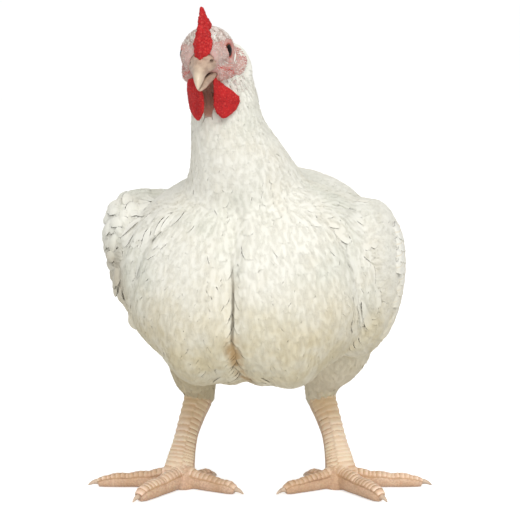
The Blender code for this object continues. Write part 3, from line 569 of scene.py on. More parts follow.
def leg_material():
    """Scaly legs: cream with warm edges to the scutes and painted shade on the upper part of each scute,
    pinker on top of the foot and at the joints.
    """
    t = Tree("legs")
    plates, z = t.kept("plate"), t.axis("Z")
    colour = t.blend(t.spots(70, 3, 0.35, 0.7), (0.93, 0.79, 0.58), (0.88, 0.70, 0.54))
    colour = t.blend(t.span(z, 0.012, 0.024, 0.6, 0.0), colour, (0.92, 0.63, 0.49))
    colour = t.blend(t.spots(240, 3, 0.5, 0.75, 0.0, 0.6), colour, (0.92, 0.81, 0.65))
    tan = t.times(t.span(z, 0.024, 0.012, 0.0, 0.6), t.spots(46, 2, 0.42, 0.58))
    colour = t.blend(tan, colour, (0.64, 0.43, 0.27))
    # Darker towards the upper part of each scute: painted shade where it tucks under the one above; bare
    # skin, at a middling plate value, takes some of the same tint.
    shade = t.times(t.span(plates, 0.95, 0.5), t.spots(38, 2, 0.38, 0.62, 0.35, 0.85))
    colour = t.blend(shade, colour, (0.70, 0.46, 0.27))
    grooves = t.times(t.span(plates, t.span(z, 0.014, 0.030, 0.92, 0.6), 0.1), 0.85)
    groove = t.blend(t.spots(60, 2, 0.35, 0.65), (0.56, 0.33, 0.18), (0.34, 0.18, 0.10))
    colour = t.blend(grooves, colour, groove)
    hock = t.times(t.span(z, 0.044, 0.066), t.spots(52, 2, 0.36, 0.56, 0.25, 0.85))
    colour = t.blend(hock, colour, (0.70, 0.52, 0.31))
    cells, side = t.cells(620), t.kept("side")
    colour = t.blend(t.times(t.span(cells, 0.35, 0.7, 0.0, 0.5), side), colour, (0.55, 0.33, 0.22))
    t.bump(t.less(t.times(t.noise(500, 3), 0.5), t.times(cells, side)), 0.5, 0.0006)
    return t.surface(colour, 0.46, Subsurface_Weight=0.05, Subsurface_Scale=0.003, Specular_IOR_Level=0.4)


def claw_material():
    t = Tree("claw")
    colour = t.blend(t.spots(180, 3, 0.4, 0.7), (0.66, 0.50, 0.37), (0.46, 0.34, 0.25))
    t.bump(t.noise(500, 2), 0.15, 0.0003)
    return t.surface(colour, 0.36, Specular_IOR_Level=0.5)


def pupil_material():
    t = Tree("pupil")
    dark = t.blend(t.noise(300, 2), (0.006, 0.005, 0.005), (0.016, 0.012, 0.010))
    return t.surface(dark, 0.25, Specular_IOR_Level=0.1)


def iris_material():
    t = Tree("iris")
    brown = t.blend(t.span(t.noise(900, 4, 0.7), 0.35, 0.65), (0.26, 0.075, 0.022), (0.10, 0.026, 0.012))
    return t.surface(brown, 0.25, Specular_IOR_Level=0.2)


FLOOR_GLOW = 0.60


def floor_material():
    """A white floor that looks lit right through, as a studio sweep does."""
    t = Tree("floor")
    colour = t.blend(t.noise(3, 2), (0.80, 0.80, 0.80), (0.82, 0.82, 0.82))
    rays = t.node("ShaderNodeLightPath").outputs["Is Camera Ray"]
    t.give(t.shader.inputs["Emission Strength"], t.times(rays, FLOOR_GLOW))
    t.give(t.shader.inputs["Emission Color"], (1.0, 1.0, 1.0))
    return t.surface(colour, 0.9, Specular_IOR_Level=0.1)


plumage, vane_finish, skin_finish = plumage_material(), vane_material(), skin_material()
comb_finish, beak_finish, leg_finish = comb_material(), beak_material(), leg_material()
bristle_finish, claw_finish = bristle_material(), claw_material()
pupil_finish, iris_finish = pupil_material(), iris_material()


# Skin of the body


FLESH = ["torso", "neck", "head", "thigh_left", "thigh_right"]
# How far the skin lies under the outer side of the coat, in millimetres.
DEPTHS = {"torso": 1.9, "neck": 1.6, "head": 1.0, "thigh": 1.6, "wing": 2.0, "tail": 3.0}
BODY_VOXEL = 2.6 * MM
HEAD_VOXEL = 0.75 * MM
SWELL = 0.35 * MM
TAIL_CORE = ((0, 144, 205), (18, 27, 16))
# Places tried on a surface for each feather that it has room for.
TRIES = 4.0


def body_forms():
    """Each form of the feathered body by name, out to where its coat ends."""
    forms = {name: node_solid(name, SWELL) for name in FLESH}
    for name, side in SIDES.items():
        forms[f"wing_{name}"] = wing_solid(name, side, 1.0)
    points, faces = ellipsoid(*TAIL_CORE, 32, 20)
    forms["tail"] = (to_model(points), faces)
    return forms


class Surface:
    """A closed skin that can be asked for the nearest place on it."""

    def __init__(self, points, faces):
        self.points, self.faces = points, faces
        self.normals = normals_of(points, faces)
        self.middles = points[faces].mean(1)
        self.tree = face_tree(points, faces)

    def nearest(self, places):
        """The nearest points of the surface, and its smoothed normals there."""
        found, normals = np.empty((len(places), 3)), np.empty((len(places), 3))
        for k, place in enumerate(places):
            hit, _, index, _ = self.tree.find_nearest(Vector(place))
            found[k] = hit
            corners = self.faces[index]
            weight = 1 / (np.linalg.norm(self.points[corners] - np.array(hit), axis=1) + 1e-5)
            normals[k] = (self.normals[corners] * weight[:, None]).sum(0)
        return found, unit(normals)

    def scattered(self, spacing, seed, wanted):
        """Places spread evenly over the wanted faces, each face with its spacing in metres, and normals."""
        rng = np.random.default_rng(seed)
        area = np.linalg.norm(face_normals(self.points, self.faces), axis=1) / 2
        gap = np.broadcast_to(spacing, len(area))
        index = np.repeat(np.arange(len(area)), rng.poisson(area * wanted / gap**2 * TRIES))
        u, v = rng.random(len(index)), rng.random(len(index))
        flip = u + v > 1
        u[flip], v[flip] = 1 - u[flip], 1 - v[flip]
        order = rng.permutation(len(index))
        u, v, index = u[order, None], v[order, None], index[order]
        a, b, c = (self.points[self.faces[index, k]] for k in range(3))
        places = a + (b - a) * u + (c - a) * v
        tree = point_tree(places)
        alive = np.ones(len(places), bool)
        for k, place in enumerate(places):
            if alive[k]:
                for _, other, _ in tree.find_range(place, gap[index[k]]):
                    if other > k:
                        alive[other] = False
        a, b, c = (self.normals[self.faces[index, k]] for k in range(3))
        normals = unit(a * (1 - u - v) + b * u + c * v)
        return places[alive], normals[alive]


def nearest_form(points):
    """The name of the form that lies nearest to each point."""
    index = [forms_tree.find_nearest(Vector(p))[2] for p in points]
    return form_of_face[index]


def is_part(region, part):
    return np.char.startswith(region, part)


def coat_depth(points, region):
    """How far the skin lies under the outer side of the coat, in millimetres."""
    height = in_bird(points)[:, 2]
    depth = np.array([DEPTHS[name.split("_")[0]] for name in region])
    depth = np.where(region == "neck", mix(1.9, 1.4, smoothstep(248, 318, height)), depth)
    return np.where(is_part(region, "thigh"), mix(0.9, 1.9, smoothstep(58, 108, height)), depth)


# Where the fold between the breast and each wing runs, seen from the front: height, and how far across.
FOLDS = {
    "left": ((140, 84), (152, 79), (165, 74), (198, 69), (215, 60), (228, 48)),
    "right": ((140, -96), (160, -100), (172, -98), (195, -91), (215, -83), (231, -60)),
}
FOLD_DEPTH, FOLD_WIDTH = 3.4, 4.2
FOLD_SWELL, FOLD_SWELL_AT, FOLD_SWELL_WIDTH = 1.6, 11, 6


def creased(points, faces):
    """The body with a soft fold in front of each wing, and the flesh swelling a little beside it."""
    x, y, z = in_bird(points).T
    across = x * math.cos(STANCE_TURN) + y * math.sin(STANCE_TURN)
    shift = np.zeros(len(points))
    for fold in FOLDS.values():
        heights, places = zip(*fold)
        off = across - np.interp(z, heights, places)
        ends = smoothstep(138, 158, z) * smoothstep(234, 214, z) * smoothstep(-20, -45, y)
        outward = off * np.sign(places[0])
        shift -= FOLD_DEPTH * mound(off, FOLD_WIDTH) * ends
        shift += FOLD_SWELL * mound(outward - FOLD_SWELL_AT, FOLD_SWELL_WIDTH) * ends
    return moved(points, normals_of(points, faces), shift * MM), faces


forms = body_forms()
forms_tree = face_tree(*merged(*forms.values()))
form_of_face = np.repeat(list(forms), [len(faces) for _, faces in forms.values()])
body = Surface(*creased(*remeshed(merged(*forms.values()), BODY_VOXEL, 2)))
body_depth = softened(coat_depth(body.points, nearest_form(body.points)), body.faces, 14)


def body_skin():
    return softened(moved(body.points, body.normals, -body_depth * MM), body.faces, 2), body.faces


# Skin of the head: finer, with folds, and bare round the eyes and on the cheeks


# Places in the head's frame, forward and up: the ear, and the line of the red lip over the mouth's corner.
EAR = (-14.5, -7.0)
LIP_LINE = (-17.6, 0.74)
MOUTH_CORNER = (3, -19.5)


def throat_share(points):
    """1 on the naked throat between the wattles, in the head's frame."""
    forward, side, up = in_head(points)
    middle = smoothstep(10.5, 7.5, np.abs(side)) * smoothstep(-12, -6, forward + 0.25 * up + 8)
    return middle * smoothstep(-48, -42, up) * smoothstep(-13, -17, up)


def bareness(points):
    """1 on the naked skin of the face and throat, and 0 where feathers grow."""
    forward, side, up = in_head(points)
    behind = np.minimum(forward, 0) / 18.0
    above = np.where(up > -5, (up + 5) / mix(13.5, 18.0, smoothstep(5, 13, forward)), (up + 5) / 14.5)
    face = 1 - smoothstep(0.90, 1.08, np.hypot(behind, above))
    return np.maximum(face, throat_share(points))


def folded(points, faces):
    """The head's skin with its lids, brow, wrinkles and small bumps."""
    forward, side, up = in_head(points)
    flank = smoothstep(7, 12, np.abs(side))
    from_eye = np.hypot(forward, up * 1.12)
    shift = 0.35 * np.sin(from_eye * 2.9) * mound(from_eye - 11.0, 3.4) * flank
    shift += 0.5 * mound(from_eye - 8.6, 1.0) * flank
    shift += bareness(points) * (ripple(points, 2.6) * 0.35 + ripple(points, 1.2, 9.0) * 0.22)
    shift += throat_share(points) * 0.55 * np.sin(side * 1.9 + ripple(points, 9, 2.0) * 2)
    return moved(points, normals_of(points, faces), shift * MM), faces


head = Surface(*folded(*remeshed(node_solid("head"), HEAD_VOXEL, 3)))


def cere(points):
    """How far the skin swells round the root of the bill, in millimetres."""
    forward, side, up = in_head(points)
    return 0.8 * mound(forward - 15.2, 2.2) * smoothstep(-14, -9, up) * smoothstep(4, -1, up)


def head_skin():
    sink = (1 - bareness(head.points)) * 1.4 - cere(head.points)
    return moved(head.points, head.normals, -sink * MM), head.faces


# Legs and feet with their scutes


# From the hock down: x, y and z of the middle, half width, and half depth in front and behind.
SHANK_ROWS = (
    (49.6, 67, 73, 9, 9, 10),
    (51.0, 64, 65, 11.2, 11, 12),
    (55.0, 56, 54, 10.0, 9.6, 10.2),
    (59.0, 46, 42, 9.0, 8.6, 8.8),
    (61.4, 39, 32, 9.4, 8.4, 8.4),
    (63.2, 34.5, 24, 10.6, 8.8, 8.6),
    (64.6, 31, 17, 11.8, 9.6, 9.4),
    (66, 29.5, 9, 14, 11, 10.0),
)
# Rows of plates: phase, first and last angle round the limb, count against the front row's, and rise.
SHANK_SCUTES = (
    (0.0, 72, 168, 1.0, 1.9),
    (0.5, 18, 88, 1.25, 0.6),
    (0.3, 190, 266, 1.4, 0.5),
    (0.7, 274, 350, 1.4, 0.5),
)
TOE_SCUTES = ((0.0, 24, 156, 1.0, 0.95),)
SHANK_SCUTE_COUNT = 19
FOOT_CENTRE = (62.4, 27)
FOOT_RADII = (12.3, 12.6, 15.8)
FOOT_RISE = 5
# Toes: bearing from straight ahead (outward is positive), length, root and tip radius, joints, scutes.
TOES = {
    "middle": (34, 57, 7.2, 6.3, 3, 15),
    "outer": (90, 69, 6.4, 4.7, 4, 18),
    "inner": (-60, 49, 6.4, 5.0, 2, 12),
    "hind": (-140, 33, 5.2, 4.0, 1, 7),
}
TOE_ROOT_INSET = 2
LEG_VOXEL = 0.62 * MM
LEG_STEP = 0.5
CLAW_LENGTH, CLAW_RADIUS = 11, 2.9
BARE_PLATE = -1.0


def plate_height(along, angle, low, high):
    """The height of one row of plates: each rises towards its lower edge, with rounded corners."""
    across = (angle - low) / (high - low)
    rounding = smoothstep(0.0, 0.28, np.minimum(across, 1 - across) * 2)
    profile = (0.45 + 0.55 * along) * smoothstep(0.0, 0.12, along) * smoothstep(1.0, 0.93, along)
    return np.where((across > 0) & (across < 1), profile * rounding, 0)


def scaled(rows, sides, across, scute_rows, count):
    """A fine limb whose front carries rows of overlapping plates; also their height at each point."""
    rows = np.array(rows, float)
    length = np.linalg.norm(np.diff(resampled(rows, 60)[:, :3], axis=0), axis=1).sum()
    fine = resampled(rows, int(length / LEG_STEP))
    path = fine[:, :3]
    ahead = unit(np.gradient(path, axis=0))
    across = unit(moved(np.asarray(across, float), ahead, -(ahead @ np.asarray(across, float))))
    front = np.cross(across, ahead)
    angle = np.degrees(np.arange(sides) * 2 * math.pi / sides)
    rings, plates = [], []
    for k in range(len(fine)):
        loop = ring(path[k], across[k], front[k], *fine[k, 3:6], sides)
        place = k / (len(fine) - 1)
        height, rise = np.full(sides, BARE_PLATE), np.zeros(sides)
        for phase, low, high, share, proud in scute_rows:
            plate = plate_height((place * count * share + phase) % 1.0, angle, low, high)
            height = np.where((angle > low) & (angle < high), np.maximum(height, plate), height)
            rise = np.maximum(rise, plate * proud)
        rings.append(moved(loop, unit(loop - loop.mean(0)), rise))
        plates.append(height)
    return tube(rings), np.append(np.array(plates).ravel(), [BARE_PLATE, BARE_PLATE])


def toe_rows(toe):
    """The middle line of a toe with its radii, and the way it points."""
    bearing, length, root, tip, joints, _ = TOES[toe]
    angle = math.radians(bearing)
    heading = np.array([math.sin(angle), -math.cos(angle)])
    rows = []
    for t in np.linspace(0, 1, 41):
        radius = root + (tip - root) * t + 0.6 * abs(math.cos(math.pi * joints * t))
        if t > 0.8:
            radius *= 1 - 0.42 * ((t - 0.8) / 0.2) ** 2.4
        at = np.array(FOOT_CENTRE) + heading * (TOE_ROOT_INSET + (length - TOE_ROOT_INSET) * t)
        rows.append((*at, radius * 0.9, radius - 0.3, radius + 6 * (1 - t) ** 3 - 0.4, radius))
    return rows, heading


def leg_skin(side):
    """One skin over a whole leg, flat under the foot, with the plates' height at its points."""
    ball = ellipsoid((*FOOT_CENTRE, FOOT_RISE), FOOT_RADII, 40, 24)
    pieces = [scaled(SHANK_ROWS, 64, (-1, 0, 0), SHANK_SCUTES, SHANK_SCUTE_COUNT),
              (ball, np.full(len(ball[0]), BARE_PLATE))]
    for toe in TOES:
        rows, heading = toe_rows(toe)
        pieces.append(scaled(rows, 48, (heading[1], -heading[0], 0), TOE_SCUTES, TOES[toe][-1]))
    points, faces = merged(*(mirrored(solid, side) for solid, _ in pieces))
    plates = np.concatenate([plates for _, plates in pieces])
    points[:, 2] = np.maximum(points[:, 2], 0.0)
    source = stance(points)
    skin, skin_faces = remeshed((source, faces), LEG_VOXEL, 1)
    skin[:, 2] = np.maximum(skin[:, 2], 0.0)
    tree = point_tree(source)
    return skin, skin_faces, plates[[tree.find(place)[1] for place in skin]]


def claw_solid(toe, side):
    """A blunt, slightly hooked claw from the end of a toe, clear of the floor."""
    rows, heading = toe_rows(toe)
    root, z = np.array(rows[-1][:2]), rows[-1][2]
    spine = []
    for t in np.linspace(0, 1, 22):
        radius = CLAW_RADIUS * (1 - t) ** 0.62 + 0.25
        reach = -3.0 + CLAW_LENGTH * t
        height = z + 0.5 + 1.0 * math.sin(math.pi * t) - 2.2 * t**2
        spine.append((*(root + heading * reach), height, radius * 0.8, radius, radius * 0.8))
    spine = np.array(spine)
    ahead = unit(np.gradient(spine[:, :3], axis=0))
    across = np.array((heading[1], -heading[0], 0))
    rings = [ring(row[:3], across, np.cross(across, way), *row[3:6], 24) for row, way in zip(spine, ahead)]
    points, faces = mirrored(tube(rings), side)
    return stance(points), faces


# One skin for the whole bird


def make_skin():
    parts = [body_skin(), head_skin()]
    legs = [leg_skin(side) for side in SIDES.values()]
    points, faces = merged(*parts, *(leg[:2] for leg in legs))
    owner = np.repeat(np.arange(4), [len(part[0]) for part in parts + legs])
    index = np.repeat((0, 0, 1, 1), [len(part[1]) for part in parts + legs]).astype(np.int32)
    nodes = [*FLESH] + [f"{part}_{name}" for part in ("shank", "foot") for name in SIDES]
    skin = make("skin", points, faces, [skin_finish, leg_finish], "face_skin", *nodes)
    skin.data.polygons.foreach_set("material_index", index)
    forward, side, up = in_head(points)
    on_head = owner == 1
    in_throat = throat_share(points) * (owner < 2)
    lore = 0.5 * smoothstep(5, 10, forward) * smoothstep(-13, -5, up)
    crown = np.where(on_head, np.maximum(1 - bareness(points), lore), 0.0)
    ear = mound(np.hypot(forward - EAR[0], up - EAR[1]), 3.4) * smoothstep(8, 12, np.abs(side)) * 0.4
    lip = mound(up - (LIP_LINE[0] + LIP_LINE[1] * forward), 1.4) * smoothstep(6, 9, np.abs(side))
    lip = lip * smoothstep(0, 3, forward) * smoothstep(16, 13, forward)
    corner = 0.7 * mound(np.hypot((forward - MOUTH_CORNER[0]) / 1.5, (up - MOUTH_CORNER[1]) / 1.4), 2.6)
    red = np.maximum(np.maximum(ear, lip), corner) * on_head
    feathered = np.where(on_head, 0.0, 1.0 - in_throat)
    plates = np.concatenate([np.full((owner < 2).sum(), 0.5)] + [leg[2] for leg in legs])
    with_values(skin, plate=np.where(plates < 0, 0.65, plates), side=plates < 0,
                throat=in_throat, crown=crown, feathered=feathered, red=red)


# Feathers


PATCH = 0.003
PIECE_LIMIT = 190000
WEB_COLUMNS = np.array((-0.86, -0.45, 0, 0.45, 0.86))
LONG_WEB = (0, 0.17, 0.36, 0.54, 0.70, 0.83, 0.93)
SHORT_WEB = (0, 0.3, 0.62, 0.9)


def web_width(s):
    return np.sin(math.pi * np.clip(0.16 + 0.80 * s, 0, 0.97)) ** 0.55


def contour_template(rng, stations=LONG_WEB):
    """A body feather: a web with a soft fringe of barb ends, as along, across and rise, and its faces."""
    width, last = len(WEB_COLUMNS), len(stations) - 1
    points = [(s + 0.03 * abs(t), t * web_width(s), 0) for s in stations for t in WEB_COLUMNS]
    faces = []
    for row in range(last):
        for a in range(row * width, row * width + width - 1):
            faces += [(a, a + width, a + 1), (a + 1, a + width, a + width + 1)]
    for row in range(1, last):
        for edge, side in ((0, -1), (width - 1, 1)):
            reach = side * web_width(stations[row + 1]) * rng.uniform(0.96, 1.06)
            points.append((stations[row + 1] + rng.uniform(0.0, 0.05), reach, 0))
            tooth = (row * width + edge, row * width + edge + width, len(points) - 1)
            faces.append(tooth if side < 0 else tooth[::-1])
    for j in range(width - 1):
        middle = (WEB_COLUMNS[j] + WEB_COLUMNS[j + 1]) / 2
        points.append((1.0 - 0.06 * abs(middle) + rng.uniform(-0.02, 0.03), middle * web_width(0.97), 0))
        faces.append((last * width + j, len(points) - 1, last * width + j + 1))
    return np.array(points, float), np.array(faces)


def down_template(barbs, thick=0.16):
    """A small tuft of a few narrow barbs that spread from one root."""
    points, faces = [], []
    for k in range(barbs):
        turn = (k + 0.5) / barbs * 2 - 1
        base = len(points)
        points += [(0.0, turn * 0.25 - 0.6 * thick, 0), (0.0, turn * 0.25 + 0.6 * thick, 0),
                   (0.55, turn * 0.7 - thick, 0), (0.55, turn * 0.7 + thick, 0),
                   (1.0 - 0.2 * turn**2, turn, 0)]
        faces += [(base, base + 1, base + 3), (base, base + 3, base + 2), (base + 2, base + 3, base + 4)]
    return np.array(points, float), np.array(faces)


def chart(points, normals):
    """Where each point lies on a box unwrap of the skin: six charts side by side."""
    low, high = points.min(0), points.max(0)
    local = (points - low) / ((high - low).max() + 1e-9)
    axis = np.abs(normals).argmax(1)
    back = normals[np.arange(len(normals)), axis] < 0
    u = np.where(axis == 0, local[:, 1], local[:, 0])
    v = np.where(axis == 2, local[:, 1], local[:, 2])
    return np.column_stack([(axis + 0.04 + 0.92 * u) / 3, (back + 0.04 + 0.92 * v) / 2])


def feather_piece(name, groups, finish, *nodes):
    """Feathers as one piece with their maps; a group has points, faces, one feather's map, roots, normals."""
    places = chart(*(np.vstack([group[k] for group in groups]) for k in (3, 4)))
    points, faces, bake, vane = [], [], [], []
    offset, at = 0, 0
    for feathers, corners, shape, _, _ in groups:
        count, size = feathers.shape[:2]
        starts = offset + np.arange(count) * size
        spots = places[at:at + count, None] + (shape[:, :2] * (1, 0.5) - (0.5, 0)) * PATCH
        points.append(feathers.reshape(-1, 3))
        faces.append((corners + starts[:, None, None]).reshape(-1, 3))
        bake.append(spots.reshape(-1, 2))
        vane.append(np.tile(shape[:, :2], (count, 1)))
        offset += count * size
        at += count
    faces = np.vstack(faces)
    obj = make(name, np.vstack(points), faces, [finish], "plumage", *nodes)
    for title, values in (("OFBake", bake), ("vane", vane)):
        layer = obj.data.uv_layers.new(name=title)
        layer.data.foreach_set("uv", np.vstack(values)[faces.ravel()].astype(np.float32).ravel())
    return obj


class Coat:
    """Feathers gathered label by label and made into pieces of limited size."""

    def __init__(self):
        self.batches = {}

    def add(self, label, template, roots, mids, tips, normals, tip_normals, widths, camber, roll):
        """Feathers from roots over mids to tips; widths, camber and roll have one value each."""
        shape, faces = template
        s, t, rise = shape.T

        def weighed(at_root, at_middle, at_tip):
            pairs = ((roots, at_root), (mids, at_middle), (tips, at_tip))
            return sum(places[:, None] * share[None, :, None] for places, share in pairs)

        line = weighed((1 - s) * (1 - 2 * s), 4 * s * (1 - s), s * (2 * s - 1))
        ahead = unit(weighed(4 * s - 3, 4 - 8 * s, 4 * s - 1))
        up = unit(normals[:, None] * (1 - s)[None, :, None] + tip_normals[:, None] * s[None, :, None])
        aside = unit(np.cross(ahead, up))
        up = np.cross(aside, ahead)
        half = (widths / 2)[:, None] * t
        high = rise - camber[:, None] * half**2 / (widths / 2)[:, None] + roll[:, None] * half
        points = line + aside * half[..., None] + up * high[..., None]
        self.batches.setdefault(label, []).append((points, faces, shape, roots, normals))

    def build(self, finishes):
        """Makes the pieces, each with no more triangles than the limit."""
        for label in sorted(self.batches):
            number, total, pending = 0, 0, []
            for points, faces, shape, roots, normals in self.batches[label]:
                start = 0
                while start < len(points):
                    cut = slice(start, start + max(1, (PIECE_LIMIT - total) // len(faces)))
                    pending.append((points[cut], faces, shape, roots[cut], normals[cut]))
                    total += len(points[cut]) * len(faces)
                    start = cut.stop
                    if total + len(faces) > PIECE_LIMIT:
                        self.piece(f"{label}_{number}", pending, finishes.get(label, plumage))
                        number, total, pending = number + 1, 0, []
            if pending:
                self.piece(f"{label}_{number}", pending, finishes.get(label, plumage))

    def piece(self, name, groups, finish):
        obj = feather_piece(name, groups, finish)
        counts = [len(shape) for feathers, _, shape, _, _ in groups for _ in feathers]
        tints = np.random.default_rng(len(obj.data.vertices)).random(len(counts))
        with_values(obj, tint=np.repeat(tints, counts))


# How the feathers lie, and where they grow


NECK_LIE = np.array((0.067, 0.413, -0.909))
# Body feathers: how far apart, how long and how wide, in millimetres.
FEATHER_SIZES = {
    "torso": (4.0, 22, 15),
    "neck": (2.9, 14, 9),
    "thigh": (3.5, 16, 10.5),
    "wing": (3.6, 18, 12),
    "tail": (4.2, 26, 13),
    "head": (2.2, 9.5, 4.4),
}
APART, LONG, WIDE = range(3)
CROWN_FOOT = -19


def lie(points, region):
    """The way the feathers point, in the bird's frame."""
    x, y, z = in_bird(points).T
    side, none = np.sign(x), 0 * x
    front = np.column_stack([0.16 * side, 0.22 + none, none - 1])
    back = np.maximum(smoothstep(-78, 22, y), smoothstep(222, 250, z))[:, None]
    way = front * (1 - back) + np.array((0, 1, -0.16)) * back
    on_neck = (region == "neck") | (region == "head")
    share = np.where(on_neck, 1.0, smoothstep(248, 262, z) * (y < -20))[:, None]
    way = way * (1 - share) + NECK_LIE * share
    thigh = is_part(region, "thigh")
    way[thigh] = np.column_stack([-0.1 * side, 0.41 + none, none - 0.9])[thigh]
    way[is_part(region, "wing")] = (0, 1, 0.02)
    way[region == "tail"] = (0, 1, 0.3)
    return way


def tangent(way, normals):
    return unit(moved(way, normals, -(way * normals).sum(1)))


def turned(way, normals, angle):
    """Directions turned in the surface by an angle each, in radians."""
    return way * np.cos(angle)[:, None] + np.cross(normals, way) * np.sin(angle)[:, None]


def clumped(places, ways, size, rng, strength):
    """Sideways pull of each feather's tip towards the middle of its clump."""
    picked = places[rng.random(len(places)) < 0.5]
    centres = {}
    for p in picked[rng.permutation(len(picked))]:
        centres.setdefault(tuple(np.floor(p / size).astype(int)), p)
    tree = point_tree(list(centres.values()))
    pull = np.array([tree.find(p)[0] for p in places]) - places
    return moved(pull, ways, -(pull * ways).sum(1)) * np.asarray(strength)[:, None]


def laid(surface, places, ways, near, far, pull=0):
    """The places and normals on a surface below the middles and the tips of feathers."""
    middle = surface.nearest(moved(places, ways, near))
    return *middle, *surface.nearest(moved(places, ways, far) + pull)


def sizes(points, region, which):
    """One of the sizes of body feathers, smaller up the neck and down the thigh."""
    height = in_bird(points)[:, 2]
    base = np.array([FEATHER_SIZES[name.split("_")[0]][which] for name in region])
    base = np.where(region == "neck", base * mix(1.35, 0.62, smoothstep(245, 318, height)), base)
    return np.where(is_part(region, "thigh"), base * mix(0.5, 1.15, smoothstep(60, 112, height)), base)


def has_body_coat(points, region):
    """True where body feathers grow: not on the face and crown, nor under the long feathers of a wing."""
    up = in_head(points)[2]
    on_head = (region == "head") & ((up > CROWN_FOOT) | (bareness(points) > 0.4))
    under_wing = is_part(region, "wing") & (in_bird(points)[:, 1] > WING_COVERED)
    on_throat = throat_share(points) + 0.35 * ripple(points, 5, 2.5) > 0.8
    return ~(on_head | under_wing | on_throat)


# Coats


# All in millimetres but the counts.
ROOT_DEPTH = 1.0
UNDERSIDE_TOP = 76
HANG_BELOW, FLUFF_HANG_BELOW = 84, 82
SWIRL_SIZE, CLUMP_SIZE = 26, 15
EDGE_LIMITS = (-6.0, 2.5)
BODY_VARIANTS = 4
FLUFF_PITCH = 3.0
HOCK_FRINGE = 60
CURL_COUNT = 150
CURL_PITCH = 6.0
BRISTLE_ROWS = 2.1

cell_region = nearest_form(body.middles)
coated = has_body_coat(body.middles, cell_region)


def ruffle(places, region):
    """How much the feathers stand up: at the shoulders, the low right flank and the right wing's front."""
    x, y, z = in_bird(places).T
    shoulders = 0.6 * smoothstep(190, 226, z) * smoothstep(30, 62, np.abs(x)) * smoothstep(70, -10, y)
    flank = 0.6 * smoothstep(40, 75, -x) * smoothstep(200, 160, z)
    wing = 1.9 * smoothstep(20, -50, y) * (is_part(region, "wing") & (x < 0))
    return np.maximum(np.maximum(shoulders, flank), wing)


def edge_heights(middle, normals, aside):
    """How far the body lies above a feather's middle at each of its edges, in millimetres."""
    for reach in (aside, -aside):
        height = ((body.nearest(middle + reach)[0] - middle) * normals).sum(1) / MM
        yield np.clip(height, *EDGE_LIMITS)


def body_coat(coat):
    """Feathers over the whole body, each bent to lie on it, and hanging free at the foot of the thighs."""
    rng = np.random.default_rng(5)
    places, normals = body.scattered(sizes(body.middles, cell_region, APART) * MM, 3, coated)
    region = nearest_form(places)
    underside = (normals[:, 2] < -0.5) & (in_bird(places)[:, 2] < UNDERSIDE_TOP)
    keep = has_body_coat(places, region) & ~underside
    places, normals, region = places[keep], normals[keep], region[keep]
    count = len(places)
    ruffled = ruffle(places, region)

    def uneven(spread, more):
        return rng.normal(0, spread, count) * (1 + more * ruffled)

    swirl = ripple(places, SWIRL_SIZE, 4.0) * (0.16 + 0.55 * ruffled) + uneven(0.05, 2.5)
    ways = turned(tangent(lie(places, region), normals), normals, swirl)
    length = sizes(places, region, LONG) * rng.uniform(0.88, 1.14, count)
    width = sizes(places, region, WIDE) * rng.uniform(0.9, 1.12, count)
    pull = clumped(places, ways, CLUMP_SIZE * MM, rng, 0.04 + 0.24 * ruffled)
    lift = ripple(places, 11, 7.0) * (0.15 + 1.7 * ruffled) + uneven(0.10, 3)
    near, far = length * 0.48 * MM, length * 0.95 * MM
    middle, middle_normals, tip, tip_normals = laid(body, places, ways, near, far, pull)
    hang = is_part(region, "thigh") & (in_bird(places)[:, 2] < HANG_BELOW)
    ragged = length * rng.uniform(0.65, 1.5, count) * MM
    middle[hang] = moved(places, ways, near)[hang]
    tip[hang] = moved(places, ways * 0.95 - normals * 0.3, ragged)[hang]
    middle_normals[hang], tip_normals[hang] = normals[hang], normals[hang]
    depth = np.minimum(np.maximum(coat_depth(places, region), 0.8), ROOT_DEPTH)
    roots = moved(places, normals, -depth * MM)
    mids = moved(middle, middle_normals, -depth * 0.32 * MM) + pull * 0.35
    tips = moved(tip, tip_normals, (lift * 0.6 - 0.1) * MM)
    half = width / 2
    aside = unit(np.cross(ways, middle_normals)) * (half * MM)[:, None]
    first, second = edge_heights(middle, middle_normals, aside)
    tuck = rng.uniform(0.9, 1.2, count) + 0.5 * ruffled
    camber = (tuck - (first + second) / 2) / half
    roll = (first - second) / (2 * half) + uneven(0.010, 3.5)
    templates = [contour_template(rng) for _ in range(BODY_VARIANTS)]
    variant = rng.integers(0, BODY_VARIANTS, count)
    feathers = (roots, mids, tips, normals, tip_normals, width * MM, camber, roll)
    on_left = in_bird(places)[:, 0] > 0
    for name in sorted(FEATHER_SIZES):
        for half_name, on_half in (("left", on_left), ("right", ~on_left)):
            for k, template in enumerate(templates):
                chosen = is_part(region, name) & on_half & (variant == k)
                if chosen.any():
                    coat.add(f"coat_{name}_{half_name}", template, *(values[chosen] for values in feathers))


